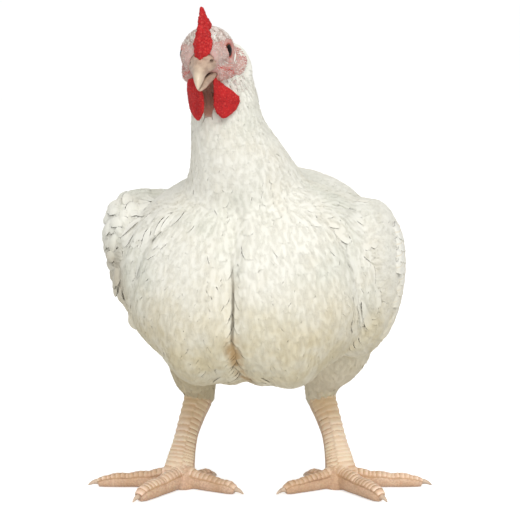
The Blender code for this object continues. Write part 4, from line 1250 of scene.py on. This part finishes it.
def fluff_coat(coat):
    """Fine loose barbs that lie over the body's feathers and blur their edges."""
    rng = np.random.default_rng(17)
    places, normals = body.scattered(FLUFF_PITCH * MM, 19, coated)
    region = nearest_form(places)
    keep = has_body_coat(places, region) & (in_bird(places)[:, 2] > HOCK_FRINGE)
    places, normals, region = places[keep], normals[keep], region[keep]
    count = len(places)
    swirl = rng.normal(0, 0.2, count) + 0.2 * ripple(places, SWIRL_SIZE, 4.0)
    ways = turned(tangent(lie(places, region), normals), normals, swirl)
    length = np.where(region == "neck", 5.5, 7.5) * rng.uniform(0.7, 1.3, count) * MM
    middle, middle_normals, tip, tip_normals = laid(body, places, ways, length * 0.5, length)
    hang = is_part(region, "thigh") & (in_bird(places)[:, 2] < FLUFF_HANG_BELOW)
    middle[hang] = moved(places, ways, length * 0.5)[hang]
    tip[hang] = moved(places, ways * 0.96 - normals * 0.25, length)[hang]
    roots = places - normals * (0.3 * MM)
    mids = middle + middle_normals * (0.30 * MM)
    tips = moved(tip, tip_normals, rng.uniform(0.25, 0.75, count) * MM)
    width = rng.uniform(3.0, 4.6, count) * MM
    feathers = (roots, mids, tips, normals, tip_normals, width, np.full(count, 0.1), np.zeros(count))
    on_left = places[:, 0] > SHIFT.x
    for half_name, chosen in (("left", on_left), ("right", ~on_left)):
        coat.add(f"coat_fluff_{half_name}", down_template(5, 0.09), *(values[chosen] for values in feathers))


def curled_coat(coat):
    """Ruffled feathers that stand off the front of the right wing and curl over."""
    rng = np.random.default_rng(29)
    places, normals = body.scattered(CURL_PITCH * MM, 37, in_bird(body.middles)[:, 0] < -70)
    x, y, z = in_bird(places).T
    chosen = (x < -86) & (y > -66) & (y < 26) & (z > 150) & (z < 236)
    places, normals = places[chosen][:CURL_COUNT], normals[chosen][:CURL_COUNT]
    count = len(places)
    swirl = 0.9 * ripple(places, 22, 8.0) + rng.normal(0, 0.3, count)
    ways = turned(tangent(np.tile((0.0, 0.8, -0.55), (count, 1)), normals), normals, swirl)
    length = rng.uniform(14, 22, count) * MM
    middle, middle_normals, tip, tip_normals = laid(body, places, ways, length * 0.45, length * 0.85)
    roots = places - normals * (0.6 * MM)
    mids = moved(middle, middle_normals, rng.uniform(1.2, 3.2, count) * MM)
    tips = moved(tip, tip_normals, rng.uniform(0.6, 3.0, count) * MM)
    coat.add("coat_curls", contour_template(rng), roots, mids, tips, normals, tip_normals,
             rng.uniform(9, 13, count) * MM, rng.uniform(0.3, 0.6, count), rng.normal(0, 0.2, count))


def head_ways(points, normals):
    """The way head feathers point: back over the crown, and down the cheeks and the neck."""
    forward, side, up = in_head(points)
    back, lower = (HEAD_AXES @ np.array(way) for way in ((0, 1, 0.02), (0, 0.75, -0.7)))
    way = lower + (back - lower) * smoothstep(-4, 10, up)[:, None]
    neck = smoothstep(-18, -34, up)[:, None]
    return tangent(way * (1 - neck) + np.array((0.06, 0.35, -0.93)) * neck, normals)


def grows_crown(points):
    """True where the short feathers of the crown, nape and throat grow, out to a ragged edge."""
    forward, side, up = in_head(points)
    beside_comb = smoothstep(13, 6.5, np.abs(side)) * smoothstep(0, 8, forward)
    raised = points + np.outer(beside_comb * 5.5 * MM, HEAD_AXES[:, 2])
    ragged = bareness(raised) + 0.4 * ripple(points, 2.2, 6.0) + 0.35 * ripple(points, 0.8, 3.0)
    return (ragged + 0.22 * smoothstep(-8, 5, forward) < 0.5) & (up > CROWN_FOOT - 7)


def grows_bristles(points):
    """True in rows round the eye, and above and in front of it, on the naked face."""
    forward, side, up = in_head(points)
    off_eye = np.hypot(forward, up)
    in_row = (off_eye + 0.5 * ripple(points, 6)) % BRISTLE_ROWS < 0.5 * BRISTLE_ROWS
    bare = (bareness(points) > 0.08) & (throat_share(points) < 0.3)
    rows = in_row | (up > 6) | (forward > 7)
    return bare & rows & (off_eye > 7.6) & (np.abs(side) > 3.5) & (forward < 15)


def head_coat(coat):
    """Short feathers on the crown, nape and throat, and fine white bristles on the bare face."""
    rng = np.random.default_rng(11)

    def feathers(label, template, wanted, seed, spacing, long, wide, rises, fine):
        places, normals = head.scattered(spacing * MM, seed, wanted(head.middles))
        chosen = wanted(places)
        places, normals = places[chosen], normals[chosen]
        count = len(places)
        forward, side, up = in_head(places)
        swirl = rng.normal(0, 0.12, count) + ripple(places, 9) * 0.25
        ways = turned(head_ways(places, normals), normals, swirl)
        longer = np.maximum(smoothstep(4, -20, forward), smoothstep(-14, -34, up))
        length = long * mix(fine, 1.25, longer) * rng.uniform(0.85, 1.15, count) * MM
        middle, middle_normals, tip, tip_normals = laid(head, places, ways, length * 0.5, length)
        roots = moved(places, normals, (rises[0] + cere(places)) * MM)
        mids = moved(middle, middle_normals, (rises[1] + cere(middle)) * MM)
        tips = moved(tip, tip_normals, (rises[2] + cere(tip) + rng.uniform(-0.1, 0.15, count)) * MM)
        width = wide * mix(fine, 1.2, longer) * MM * rng.uniform(0.85, 1.15, count)
        coat.add(label, template, roots, mids, tips, normals, tip_normals, width, np.full(count, 0.2),
                 rng.normal(0, 0.08, count))

    short = contour_template(rng, SHORT_WEB)
    feathers("coat_crown", short, grows_crown, 21, 1.35, 6.0, 2.8, (-1.1, -0.15, 0.25), 0.5)
    feathers("coat_bristles", down_template(3), grows_bristles, 23, 0.85, 2.4, 0.85, (-0.25, 0.3, 0.5), 0.85)


# Long feathers of the wings and the tail


VANE_ROWS = 30
VANE_COLUMNS = np.array([-1, -0.66, -0.33, -0.07, 0, 0.07, 0.33, 0.66, 1])
# The half width of a vane against its widest, from root to tip.
VANE_SHARES = (0.0, 0.06, 0.3, 0.6, 0.82, 0.93, 0.98, 1.0)
VANE_WIDTHS = (0.30, 0.52, 0.95, 1.0, 0.90, 0.66, 0.40, 0.16)
TIP_THICK = 0.35
# First and last root (y, z), first and last length and bearing, how many, width, and how far they lift.
PRIMARIES = ((50, 160), (62, 190), (107, 97), (21, 7), 6, 14, -3.2)
SECONDARIES = ((-20, 142), (22, 217), (105, 91), (16, 3), 11, 17, 0.0)
# Each row of coverts: how far ahead of the roots below it starts, its length, and how far outside it lies.
COVERTS = ((20, 46, 0.6), (36, 36, 1.2), (50, 28, 1.7))
COVERT_FRONT = -42
# In millimetres, but for the lean: how a wing's feathers lie against its outer side.
VANE_LEAN = 0.14
VANE_SINK = -1.2
ROOT_DIVE, ROOT_DIVE_END = 5.5, 9
TIP_CURL = 1.2
VANE_ARCH = 0.5
BODY_CLEARANCE = 1.4
WING_VANE_THICK, TAIL_VANE_THICK = 0.8, 0.7
# How far the barbs at a vane's edge reach past their roots, and how narrow a split leaves one side.
BARB_SLANT = 0.09
SPLIT_ROWS = range(8, VANE_ROWS - 1)
SPLIT_SHARE = (0.62, 0.85)


def vane_grid(rng, thick, width, length):
    """A long feather's points (along, across and depth, in millimetres), its map, and its faces."""
    off_shaft = np.abs(VANE_COLUMNS)
    stations = (np.linspace(0, 1, VANE_ROWS) ** 0.9)[:, None]
    splits = rng.choice(SPLIT_ROWS, size=2, replace=False)
    slant = off_shaft * BARB_SLANT * (stations > 0.05)
    reach = np.clip(stations + slant * (width / length) * 3.2 - 0.02, 0, 1)
    reach = np.minimum(reach, 1 - 0.012 * off_shaft)
    wide = np.interp(stations, VANE_SHARES, VANE_WIDTHS) * VANE_COLUMNS
    for row in splits:
        edge = rng.choice([-1, 1])
        wide[row, VANE_COLUMNS * edge > 0.5] *= rng.uniform(*SPLIT_SHARE)
    wide += rng.normal(0, 0.012, wide.shape) * (off_shaft > 0.9)
    shaft = 0.45 * (off_shaft < 0.1) * (1 - 0.7 * stations)
    below = -mix(thick, TIP_THICK, stations) - 0.4 * shaft
    layers = [np.dstack([reach * length, wide * width / 2, depth]).reshape(-1, 3) for depth in (shaft, below)]
    flat = np.dstack([reach, wide, 0 * wide]).reshape(-1, 3)
    size = wide.size
    index = np.arange(size).reshape(wide.shape)
    a, b, c, d = index[:-1, :-1], index[:-1, 1:], index[1:, 1:], index[1:, :-1]
    upper = np.concatenate([np.stack(corners, -1).reshape(-1, 3) for corners in ((a, b, c), (a, c, d))])
    rim = np.concatenate([index[:, 0], index[-1, 1:], index[-2::-1, -1], index[0, -2:0:-1]])
    after = np.roll(rim, -1)
    walls = ((rim, rim + size, after + size), (rim, after + size, after))
    faces = np.concatenate([upper, upper[:, ::-1] + size, *(np.column_stack(wall) for wall in walls)])
    return np.concatenate(layers), np.concatenate([flat, flat]), faces


def long_feather(points, faces, flat, root, normal):
    """A long feather, given in the bird's frame, as a group of its own for feather_piece."""
    points, faces = facing_out(points, faces)
    return to_model(points)[None], faces, flat, to_model(root)[None], np.array([normal], float)


def wing_vanes(rng):
    """The long feathers of a wing: root (y, z), bearing, length, width and how far outside each lies."""
    vanes = []
    for row in (PRIMARIES, SECONDARIES):
        low, high, lengths, bearings, count, width, lift = row
        for k in range(count):
            share = k / (count - 1)
            y, z = mix(low[0], high[0], share), mix(low[1], high[1], share)
            length = mix(*lengths, share) + rng.uniform(-2, 2)
            bearing = math.radians(mix(*bearings, share) + rng.uniform(-0.6, 0.6))
            vanes.append((y, z, bearing, length, width, lift))
            if row is SECONDARIES:
                vanes += coverts(y, z, bearing, width, rng)
    return vanes


def coverts(y, z, bearing, width, rng):
    """The shorter feathers that lie over the root of one long feather, where they are still on the wing."""
    vanes = []
    for tier, (ahead, reach, proud) in enumerate(COVERTS):
        turn = bearing + math.radians(rng.uniform(-2, 2))
        root_y = y - ahead * math.cos(bearing)
        root_z = z - ahead * math.sin(bearing) - 3.5 * (tier % 2)
        length = reach + rng.uniform(-2, 2)
        middle, height = (np.interp(root_y, wing_rows[:, 0], wing_rows[:, k]) for k in (2, 4))
        if root_y > COVERT_FRONT and abs(root_z - middle) < 0.8 * height:
            vanes.append((root_y, root_z, turn, length, width - 1 - tier, proud))
    return vanes


def make_wing(name, side):
    up = WING_HOLD[name][1]
    rng = np.random.default_rng(31 if name == "left" else 32)
    flank = face_tree(*merged(forms["torso"], forms[f"thigh_{name}"]))

    def flank_reach(y, z):
        """The distance from the middle of the bird to the coat of its body, or less."""
        hit = flank.ray_cast(Vector(to_model((side * 400, y, z))), Vector((-side, 0, 0)), 0.4)[0]
        return side * in_bird(hit)[0] if hit else -100

    groups = []
    for root_y, root_z, bearing, length, width, lift in wing_vanes(rng):
        points, flat, faces = vane_grid(rng, WING_VANE_THICK, width, length)
        along, across, depth = points.T
        ahead, aside = math.cos(bearing), math.sin(bearing)
        y = root_y + ahead * along - aside * across
        z = root_z + up + aside * along + ahead * across
        dive = ROOT_DIVE * np.maximum(0, 1 - along / ROOT_DIVE_END)
        curl = TIP_CURL * (along / length) ** 3
        arch = VANE_ARCH * (1 - (across / (width / 2)) ** 2)
        x = wing_reach(name, y, z) + VANE_SINK + lift - VANE_LEAN * across + arch - dive - curl + depth
        clear = np.array([flank_reach(*place) for place in zip(y[::3], z[::3])]).repeat(3)[:len(y)]
        x = np.maximum(x, clear + BODY_CLEARANCE + depth)
        root = (side * wing_reach(name, root_y, root_z + up), root_y, root_z + up)
        groups.append(long_feather(np.column_stack([side * x, y, z]), faces, flat, root, (side, 0, 0)))
    feather_piece(f"wing_{name}_feathers", groups, vane_finish, f"wing_{name}")


TAIL_ROOT = Vector((0, 148, 214))
TAIL_TENT = math.radians(50)
TAIL_SLOPE = math.radians(20)
TAIL_SPREAD = -38
# In millimetres: how far out the roots lie, how the feathers droop, and how coverts stand over them.
TAIL_INSET = 9.6
TAIL_DROOP, TAIL_EDGE_DROOP = 3.0, 0.6
COVERT_LAYER, COVERT_RISE = 5.0, 1.5
# The long feathers and two rows of coverts: share of the spread, how far out, length and width of each.
TAIL_FEATHERS = (
    [(k / 6, -1.1 * k, mix(83, 69, k / 6), 20) for k in range(7)]
    + [(k / 6, 1.3 + 0.9 * (6 - k), 50 - k, 17) for k in range(7)]
    + [(k / 5 - 0.02, 8.0 + 0.8 * (5 - k), 34 - k, 14) for k in range(6)]
)


def make_tail():
    rng = np.random.default_rng(41)
    back = Vector((0, math.cos(TAIL_SLOPE), math.sin(TAIL_SLOPE)))
    upright = Vector((0, -math.sin(TAIL_SLOPE), math.cos(TAIL_SLOPE)))
    groups = []
    for side in SIDES.values():
        aside = Vector((side, 0, 0))
        outward = aside * math.cos(TAIL_TENT) - upright * math.sin(TAIL_TENT)
        normal = aside * math.sin(TAIL_TENT) + upright * math.cos(TAIL_TENT)
        for share, layer, length, width in TAIL_FEATHERS:
            turn = math.radians(TAIL_SPREAD * share + rng.uniform(-1, 1))
            heading = back * math.cos(turn) - outward * math.sin(turn)
            broad = outward * math.cos(turn) + back * math.sin(turn)
            inset = width / 2 + 1 + TAIL_INSET * share
            lower = min(layer, COVERT_LAYER)
            root = TAIL_ROOT + outward * inset + normal * lower
            points, flat, faces = vane_grid(rng, TAIL_VANE_THICK, width, length)
            along, across, depth = points.T
            droop = TAIL_DROOP * (along / length) ** 2 + TAIL_EDGE_DROOP * (across / (width / 2)) ** 2
            if layer > 1:
                droop = droop + (lower - COVERT_RISE) * (along / length)
            points = np.array(root) + np.outer(along, heading) + np.outer(across, broad)
            points = points + np.outer(depth - droop, normal)
            groups.append(long_feather(points, faces, flat, root, (0, 0, 1)))
    feather_piece("tail_feathers", groups, vane_finish, "tail")


# Comb, wattles, bill, eyes and claws


EYE_RADIUS = 7.0
# The way an eye looks in the head's frame: forward, outward and up.
EYE_AXIS = (0.30, 1.0, 0.04)
PUPIL_ANGLE = 33
IRIS_ANGLE = 66
# Across the lid from its edge: degrees from the edge, and height over the eyeball.
LID_ROWS = ((0, 0.12), (1, 0.55), (4, 0.85), (9, 0.72), (14, 0.86), (19, 0.6), (26, 0.35), (36, -0.5))
LID_REDS = [0.9, 0.6, 0.2] + [0.0] * (len(LID_ROWS) - 3)
LID_SIDES = 72
# Degrees from the eye's axis to the lids, how much less above and below, and how much more at the corners.
LID_OPENING, LID_CLOSED, CORNER_PULL = 47, 7, 2


def fine_node(name, voxel, smoothing, detail, rise, finish, slot, shape=None):
    """A node's own form, finer, with detail(points) from 0 to 1 raised by its rise, in its place."""
    points, faces = node_solid(name)
    if shape:
        points = shape(points)
    points, faces = remeshed((points, faces), voxel * MM, smoothing)
    grain = detail(points)
    far = grain * (rise * MM) + ripple(points, 5, 3.0) * 0.3 * MM
    points = moved(points, normals_of(points, faces), far)
    obj = make(f"{name}_fine", points, faces, [finish], slot, name)
    with_values(obj, grain=grain)
    return obj, points


def broad_comb(points):
    """The comb with its thick, fleshy foot between the eyes."""
    forward, side, up = in_head(points)
    share = smoothstep(17, 5, up) * smoothstep(-10, 4, forward) * smoothstep(21.5, 11, forward)
    point = smoothstep(5.5, 0.5, np.abs(side)) * smoothstep(9, 3, up) * smoothstep(12, 19, forward)
    thin = smoothstep(17, 29, up)
    across, behind, upward = HEAD_AXES.T
    points = points + np.outer(side * (0.75 * share - 0.42 * thin) * MM, across)
    return points - np.outer(point * 3.4 * MM, behind) - np.outer(point * 1.8 * MM, upward)


def rooted_wattle(points):
    """A wattle whose top is drawn up and forward into a narrow root below the corner of the mouth."""
    forward, side, up = in_head(points)
    share = smoothstep(-33.5, -22, up)
    middle, narrow, drawn = (12.5, -0.02, 0.80) if side.mean() > 0 else (-9.0, 0.18, 0.15)
    aside = (side - math.copysign(6.2, middle)) * share * drawn + (side - middle) * (1 - share) * narrow
    return points + np.column_stack([-aside, -share * 4.5, share * 5.0]) @ HEAD_AXES.T * MM


def broad_bill(points):
    """The upper bill with its cutting edges spread and lowered towards the mouth's corners."""
    forward, side, up = in_head(points)
    share = smoothstep(30, 15, forward) * smoothstep(0, -6, up)
    across, _, upward = HEAD_AXES.T
    return points + np.outer(side * share * 0.2 * MM, across) - np.outer(share * 1.6 * MM, upward)


def comb_grain(points):
    return granules(points, 1.9)


def wattle_grain(points):
    return granules(points, 1.6, 5.0)


def beak_grain(points):
    return 0.5 + 0.5 * ripple(points, 4, 2.0)


def make_face_parts():
    fine_node("comb", 0.5, 2, comb_grain, 0.85, comb_finish, "comb_skin", broad_comb)
    for name in SIDES:
        fine_node(f"wattle_{name}", 0.5, 3, wattle_grain, 0.5, comb_finish, "comb_skin", rooted_wattle)
    beaks = [fine_node(name, 0.45, 4, beak_grain, 0.12, beak_finish, "beak_horn", shape)
             for name, shape in (("beak_upper", broad_bill), ("beak_lower", None))]
    for (beak, points), (_, others) in (beaks, beaks[::-1]):
        forward, side, up = in_head(points)
        tree = point_tree(others)
        apart = np.array([tree.find(place)[2] for place in points]) / MM
        corner = smoothstep(4.5, 7.5, np.abs(side))
        # Painted shade: darker where this half of the bill lies close to the other, along the mouth's line,
        # and in the nostrils.
        dark = smoothstep(2.3 + 0.9 * corner, 1.1 + 0.7 * corner, apart)
        if beak.name.startswith("beak_upper"):
            nostril = mound(np.hypot((forward - 19.5) / 2.4, (up + 1.6) / 0.9), 1) * (np.abs(side) > 4)
            dark = np.maximum(dark, nostril)
        with_values(beak, red=dark)


def eye_pose(name, side):
    """The middle of an eye, and the way it looks."""
    forward, outward, up = EYE_AXIS
    return np.array(eye_middle(f"eye_{name}")), HEAD_AXES @ unit(np.array((side * outward, -forward, up)))


def make_eye(name, side):
    """An eyeball whose rings run round its own axis, so that pupil and iris end on clean circles."""
    centre, axis = eye_pose(name, side)
    first = unit(np.cross(axis, (0, 0, 1)))
    second = np.cross(axis, first)
    zones = ((2, PUPIL_ANGLE, 7), (PUPIL_ANGLE + 3, IRIS_ANGLE, 12), (IRIS_ANGLE + 6, 178, 14))
    rings = []
    for angle in np.radians(np.concatenate([np.linspace(*zone) for zone in zones])):
        radius = math.sin(angle) * EYE_RADIUS * MM
        middle = centre + axis * math.cos(angle) * EYE_RADIUS * MM
        rings.append(ring(middle, first, second, radius, radius, radius, 48))
    points, faces = tube(rings)
    eye = make(f"eye_{name}_fine", points, faces, [iris_finish, pupil_finish], "eye", f"eye_{name}")
    facing = unit(points[faces].mean(1) - centre) @ axis
    in_pupil = (facing > math.cos(math.radians(PUPIL_ANGLE + 1))).astype(np.int32)
    eye.data.polygons.foreach_set("material_index", in_pupil)


def make_lids(name, side):
    """Upper and lower lid as one thick rim that frames an oval opening over the eyeball."""
    centre, axis = eye_pose(name, side)
    upward = HEAD_AXES @ np.array((0, 0, 1.0))
    upward = unit(upward - axis * (upward @ axis))
    ahead = np.cross(upward, axis)
    turn = np.arange(LID_SIDES) * 2 * math.pi / LID_SIDES
    opening = LID_OPENING - LID_CLOSED * np.abs(np.sin(turn)) ** 1.3 + CORNER_PULL * np.cos(turn) ** 2
    rings = []
    for step, rise in LID_ROWS:
        away = np.radians(opening) + math.radians(step)
        radius = (EYE_RADIUS + rise + 0.10 * np.sin(turn * 9) * (step > 5)) * MM
        sideways = np.sin(away) * radius
        rings.append(centre + np.outer(np.cos(away) * radius, axis)
                     + np.outer(sideways * np.cos(turn), ahead) + np.outer(sideways * np.sin(turn), upward))
    points, faces = np.concatenate(rings), band(len(LID_ROWS), LID_SIDES)
    if ((points - centre) * normals_of(points, faces)).sum() < 0:
        faces = faces[:, ::-1]
    lids = make(f"lids_{name}", points, faces, [skin_finish], "face_skin")
    edge, nothing = np.repeat(LID_REDS, LID_SIDES), np.zeros(len(points))
    with_values(lids, red=edge, feathered=nothing, throat=edge * 0.6, crown=nothing)


def make_claws():
    for name, side in SIDES.items():
        for toe in TOES:
            node = f"claw_{toe}_{name}"
            make(f"{node}_fine", *claw_solid(toe, side), [claw_finish], "claw", node)


# Stage, light and camera


FLOOR_REACH = 40
FLOOR_HEIGHT = -0.0004
SURROUND_LIGHT = 0.56
SURROUND_SEEN = 1.02
SUN_FROM = (0.45, -1.0, 0.95)
SUN_STRENGTH = 1.5
SUN_ANGLE = math.radians(65)
# From the middle of the bird to each lamp, in metres.
BIRD_MIDDLE = 0.18
KEY_FROM, KEY_SIZE, KEY_POWER = (0.5, -1.7, 1.3), 0.5, 6
FILL_FROM, FILL_SIZE, FILL_POWER = (-0.40, -0.9, -0.09), 0.2, 0.3
FILL_DROP = (0, 0, 0.12)
CAMERA_TURN = math.radians(10)
CAMERA_AWAY = 1.15
CAMERA_HEIGHT = 0.319
CAMERA_AIM = 0.188
HALF_VIEW = math.atan(260 / 1485)


def aimed(obj, place, aim):
    """Puts a lamp or a camera in its place and turns it to its aim."""
    obj.location = place
    obj.rotation_euler = (Vector(aim) - Vector(place)).to_track_quat("-Z", "Y").to_euler()


def area_light(name, place, aim, size, power):
    light = bpy.data.lights.new(name, "AREA")
    light.shape = "DISK"
    light.size = size
    light.energy = power
    aimed(linked(name, light), place, aim)


def make_world():
    """A white surround for the camera, and softer light from it on the bird."""
    world = bpy.data.worlds.new("white")
    world.use_nodes = True
    tree = world.node_tree
    background = tree.nodes["Background"]
    background.inputs["Color"].default_value = (1.0, 1.0, 1.0, 1)
    rays = tree.nodes.new("ShaderNodeLightPath")
    level = tree.nodes.new("ShaderNodeMapRange")
    level.inputs["To Min"].default_value = SURROUND_LIGHT
    level.inputs["To Max"].default_value = SURROUND_SEEN
    tree.links.new(rays.outputs["Is Camera Ray"], level.inputs["Value"])
    tree.links.new(level.outputs[0], background.inputs["Strength"])
    bpy.context.scene.world = world


def make_stage():
    square = ((-1, -1), (1, -1), (1, 1), (-1, 1))
    corners = [(x * FLOOR_REACH, y * FLOOR_REACH, FLOOR_HEIGHT) for x, y in square]
    floor = linked("floor", mesh_from("floor", corners, [(0, 1, 2, 3)]))
    floor.data.materials.append(floor_material())
    make_world()
    light = bpy.data.lights.new("sun", "SUN")
    light.energy = SUN_STRENGTH
    light.angle = SUN_ANGLE
    aimed(linked("sun", light), (0, 0, 0), -Vector(SUN_FROM))
    middle = Vector((SHIFT.x, SHIFT.y, BIRD_MIDDLE))
    area_light("key", middle + Vector(KEY_FROM), middle, KEY_SIZE, KEY_POWER)
    area_light("low fill", middle + Vector(FILL_FROM), middle - Vector(FILL_DROP), FILL_SIZE, FILL_POWER)


def make_camera():
    data = bpy.data.cameras.new("camera")
    data.sensor_width = 36
    data.lens = 18 / math.tan(HALF_VIEW)
    data.clip_end = 100
    camera = linked("camera", data)
    x, y = CAMERA_AWAY * math.sin(CAMERA_TURN), CAMERA_AWAY * math.cos(CAMERA_TURN)
    aimed(camera, (SHIFT.x + x, SHIFT.y - y, CAMERA_HEIGHT), (SHIFT.x, SHIFT.y, CAMERA_AIM))
    bpy.context.scene.camera = camera


make_skin()
coat = Coat()
for coat_layer in (body_coat, fluff_coat, curled_coat, head_coat):
    coat_layer(coat)
coat.build({"coat_crown": bristle_finish, "coat_bristles": bristle_finish})
for wing_name, wing_side in SIDES.items():
    make_wing(wing_name, wing_side)
    make_eye(wing_name, wing_side)
    make_lids(wing_name, wing_side)
make_tail()
make_face_parts()
make_claws()
make_stage()
make_camera()
bpy.context.scene.view_settings.view_transform = "Standard"
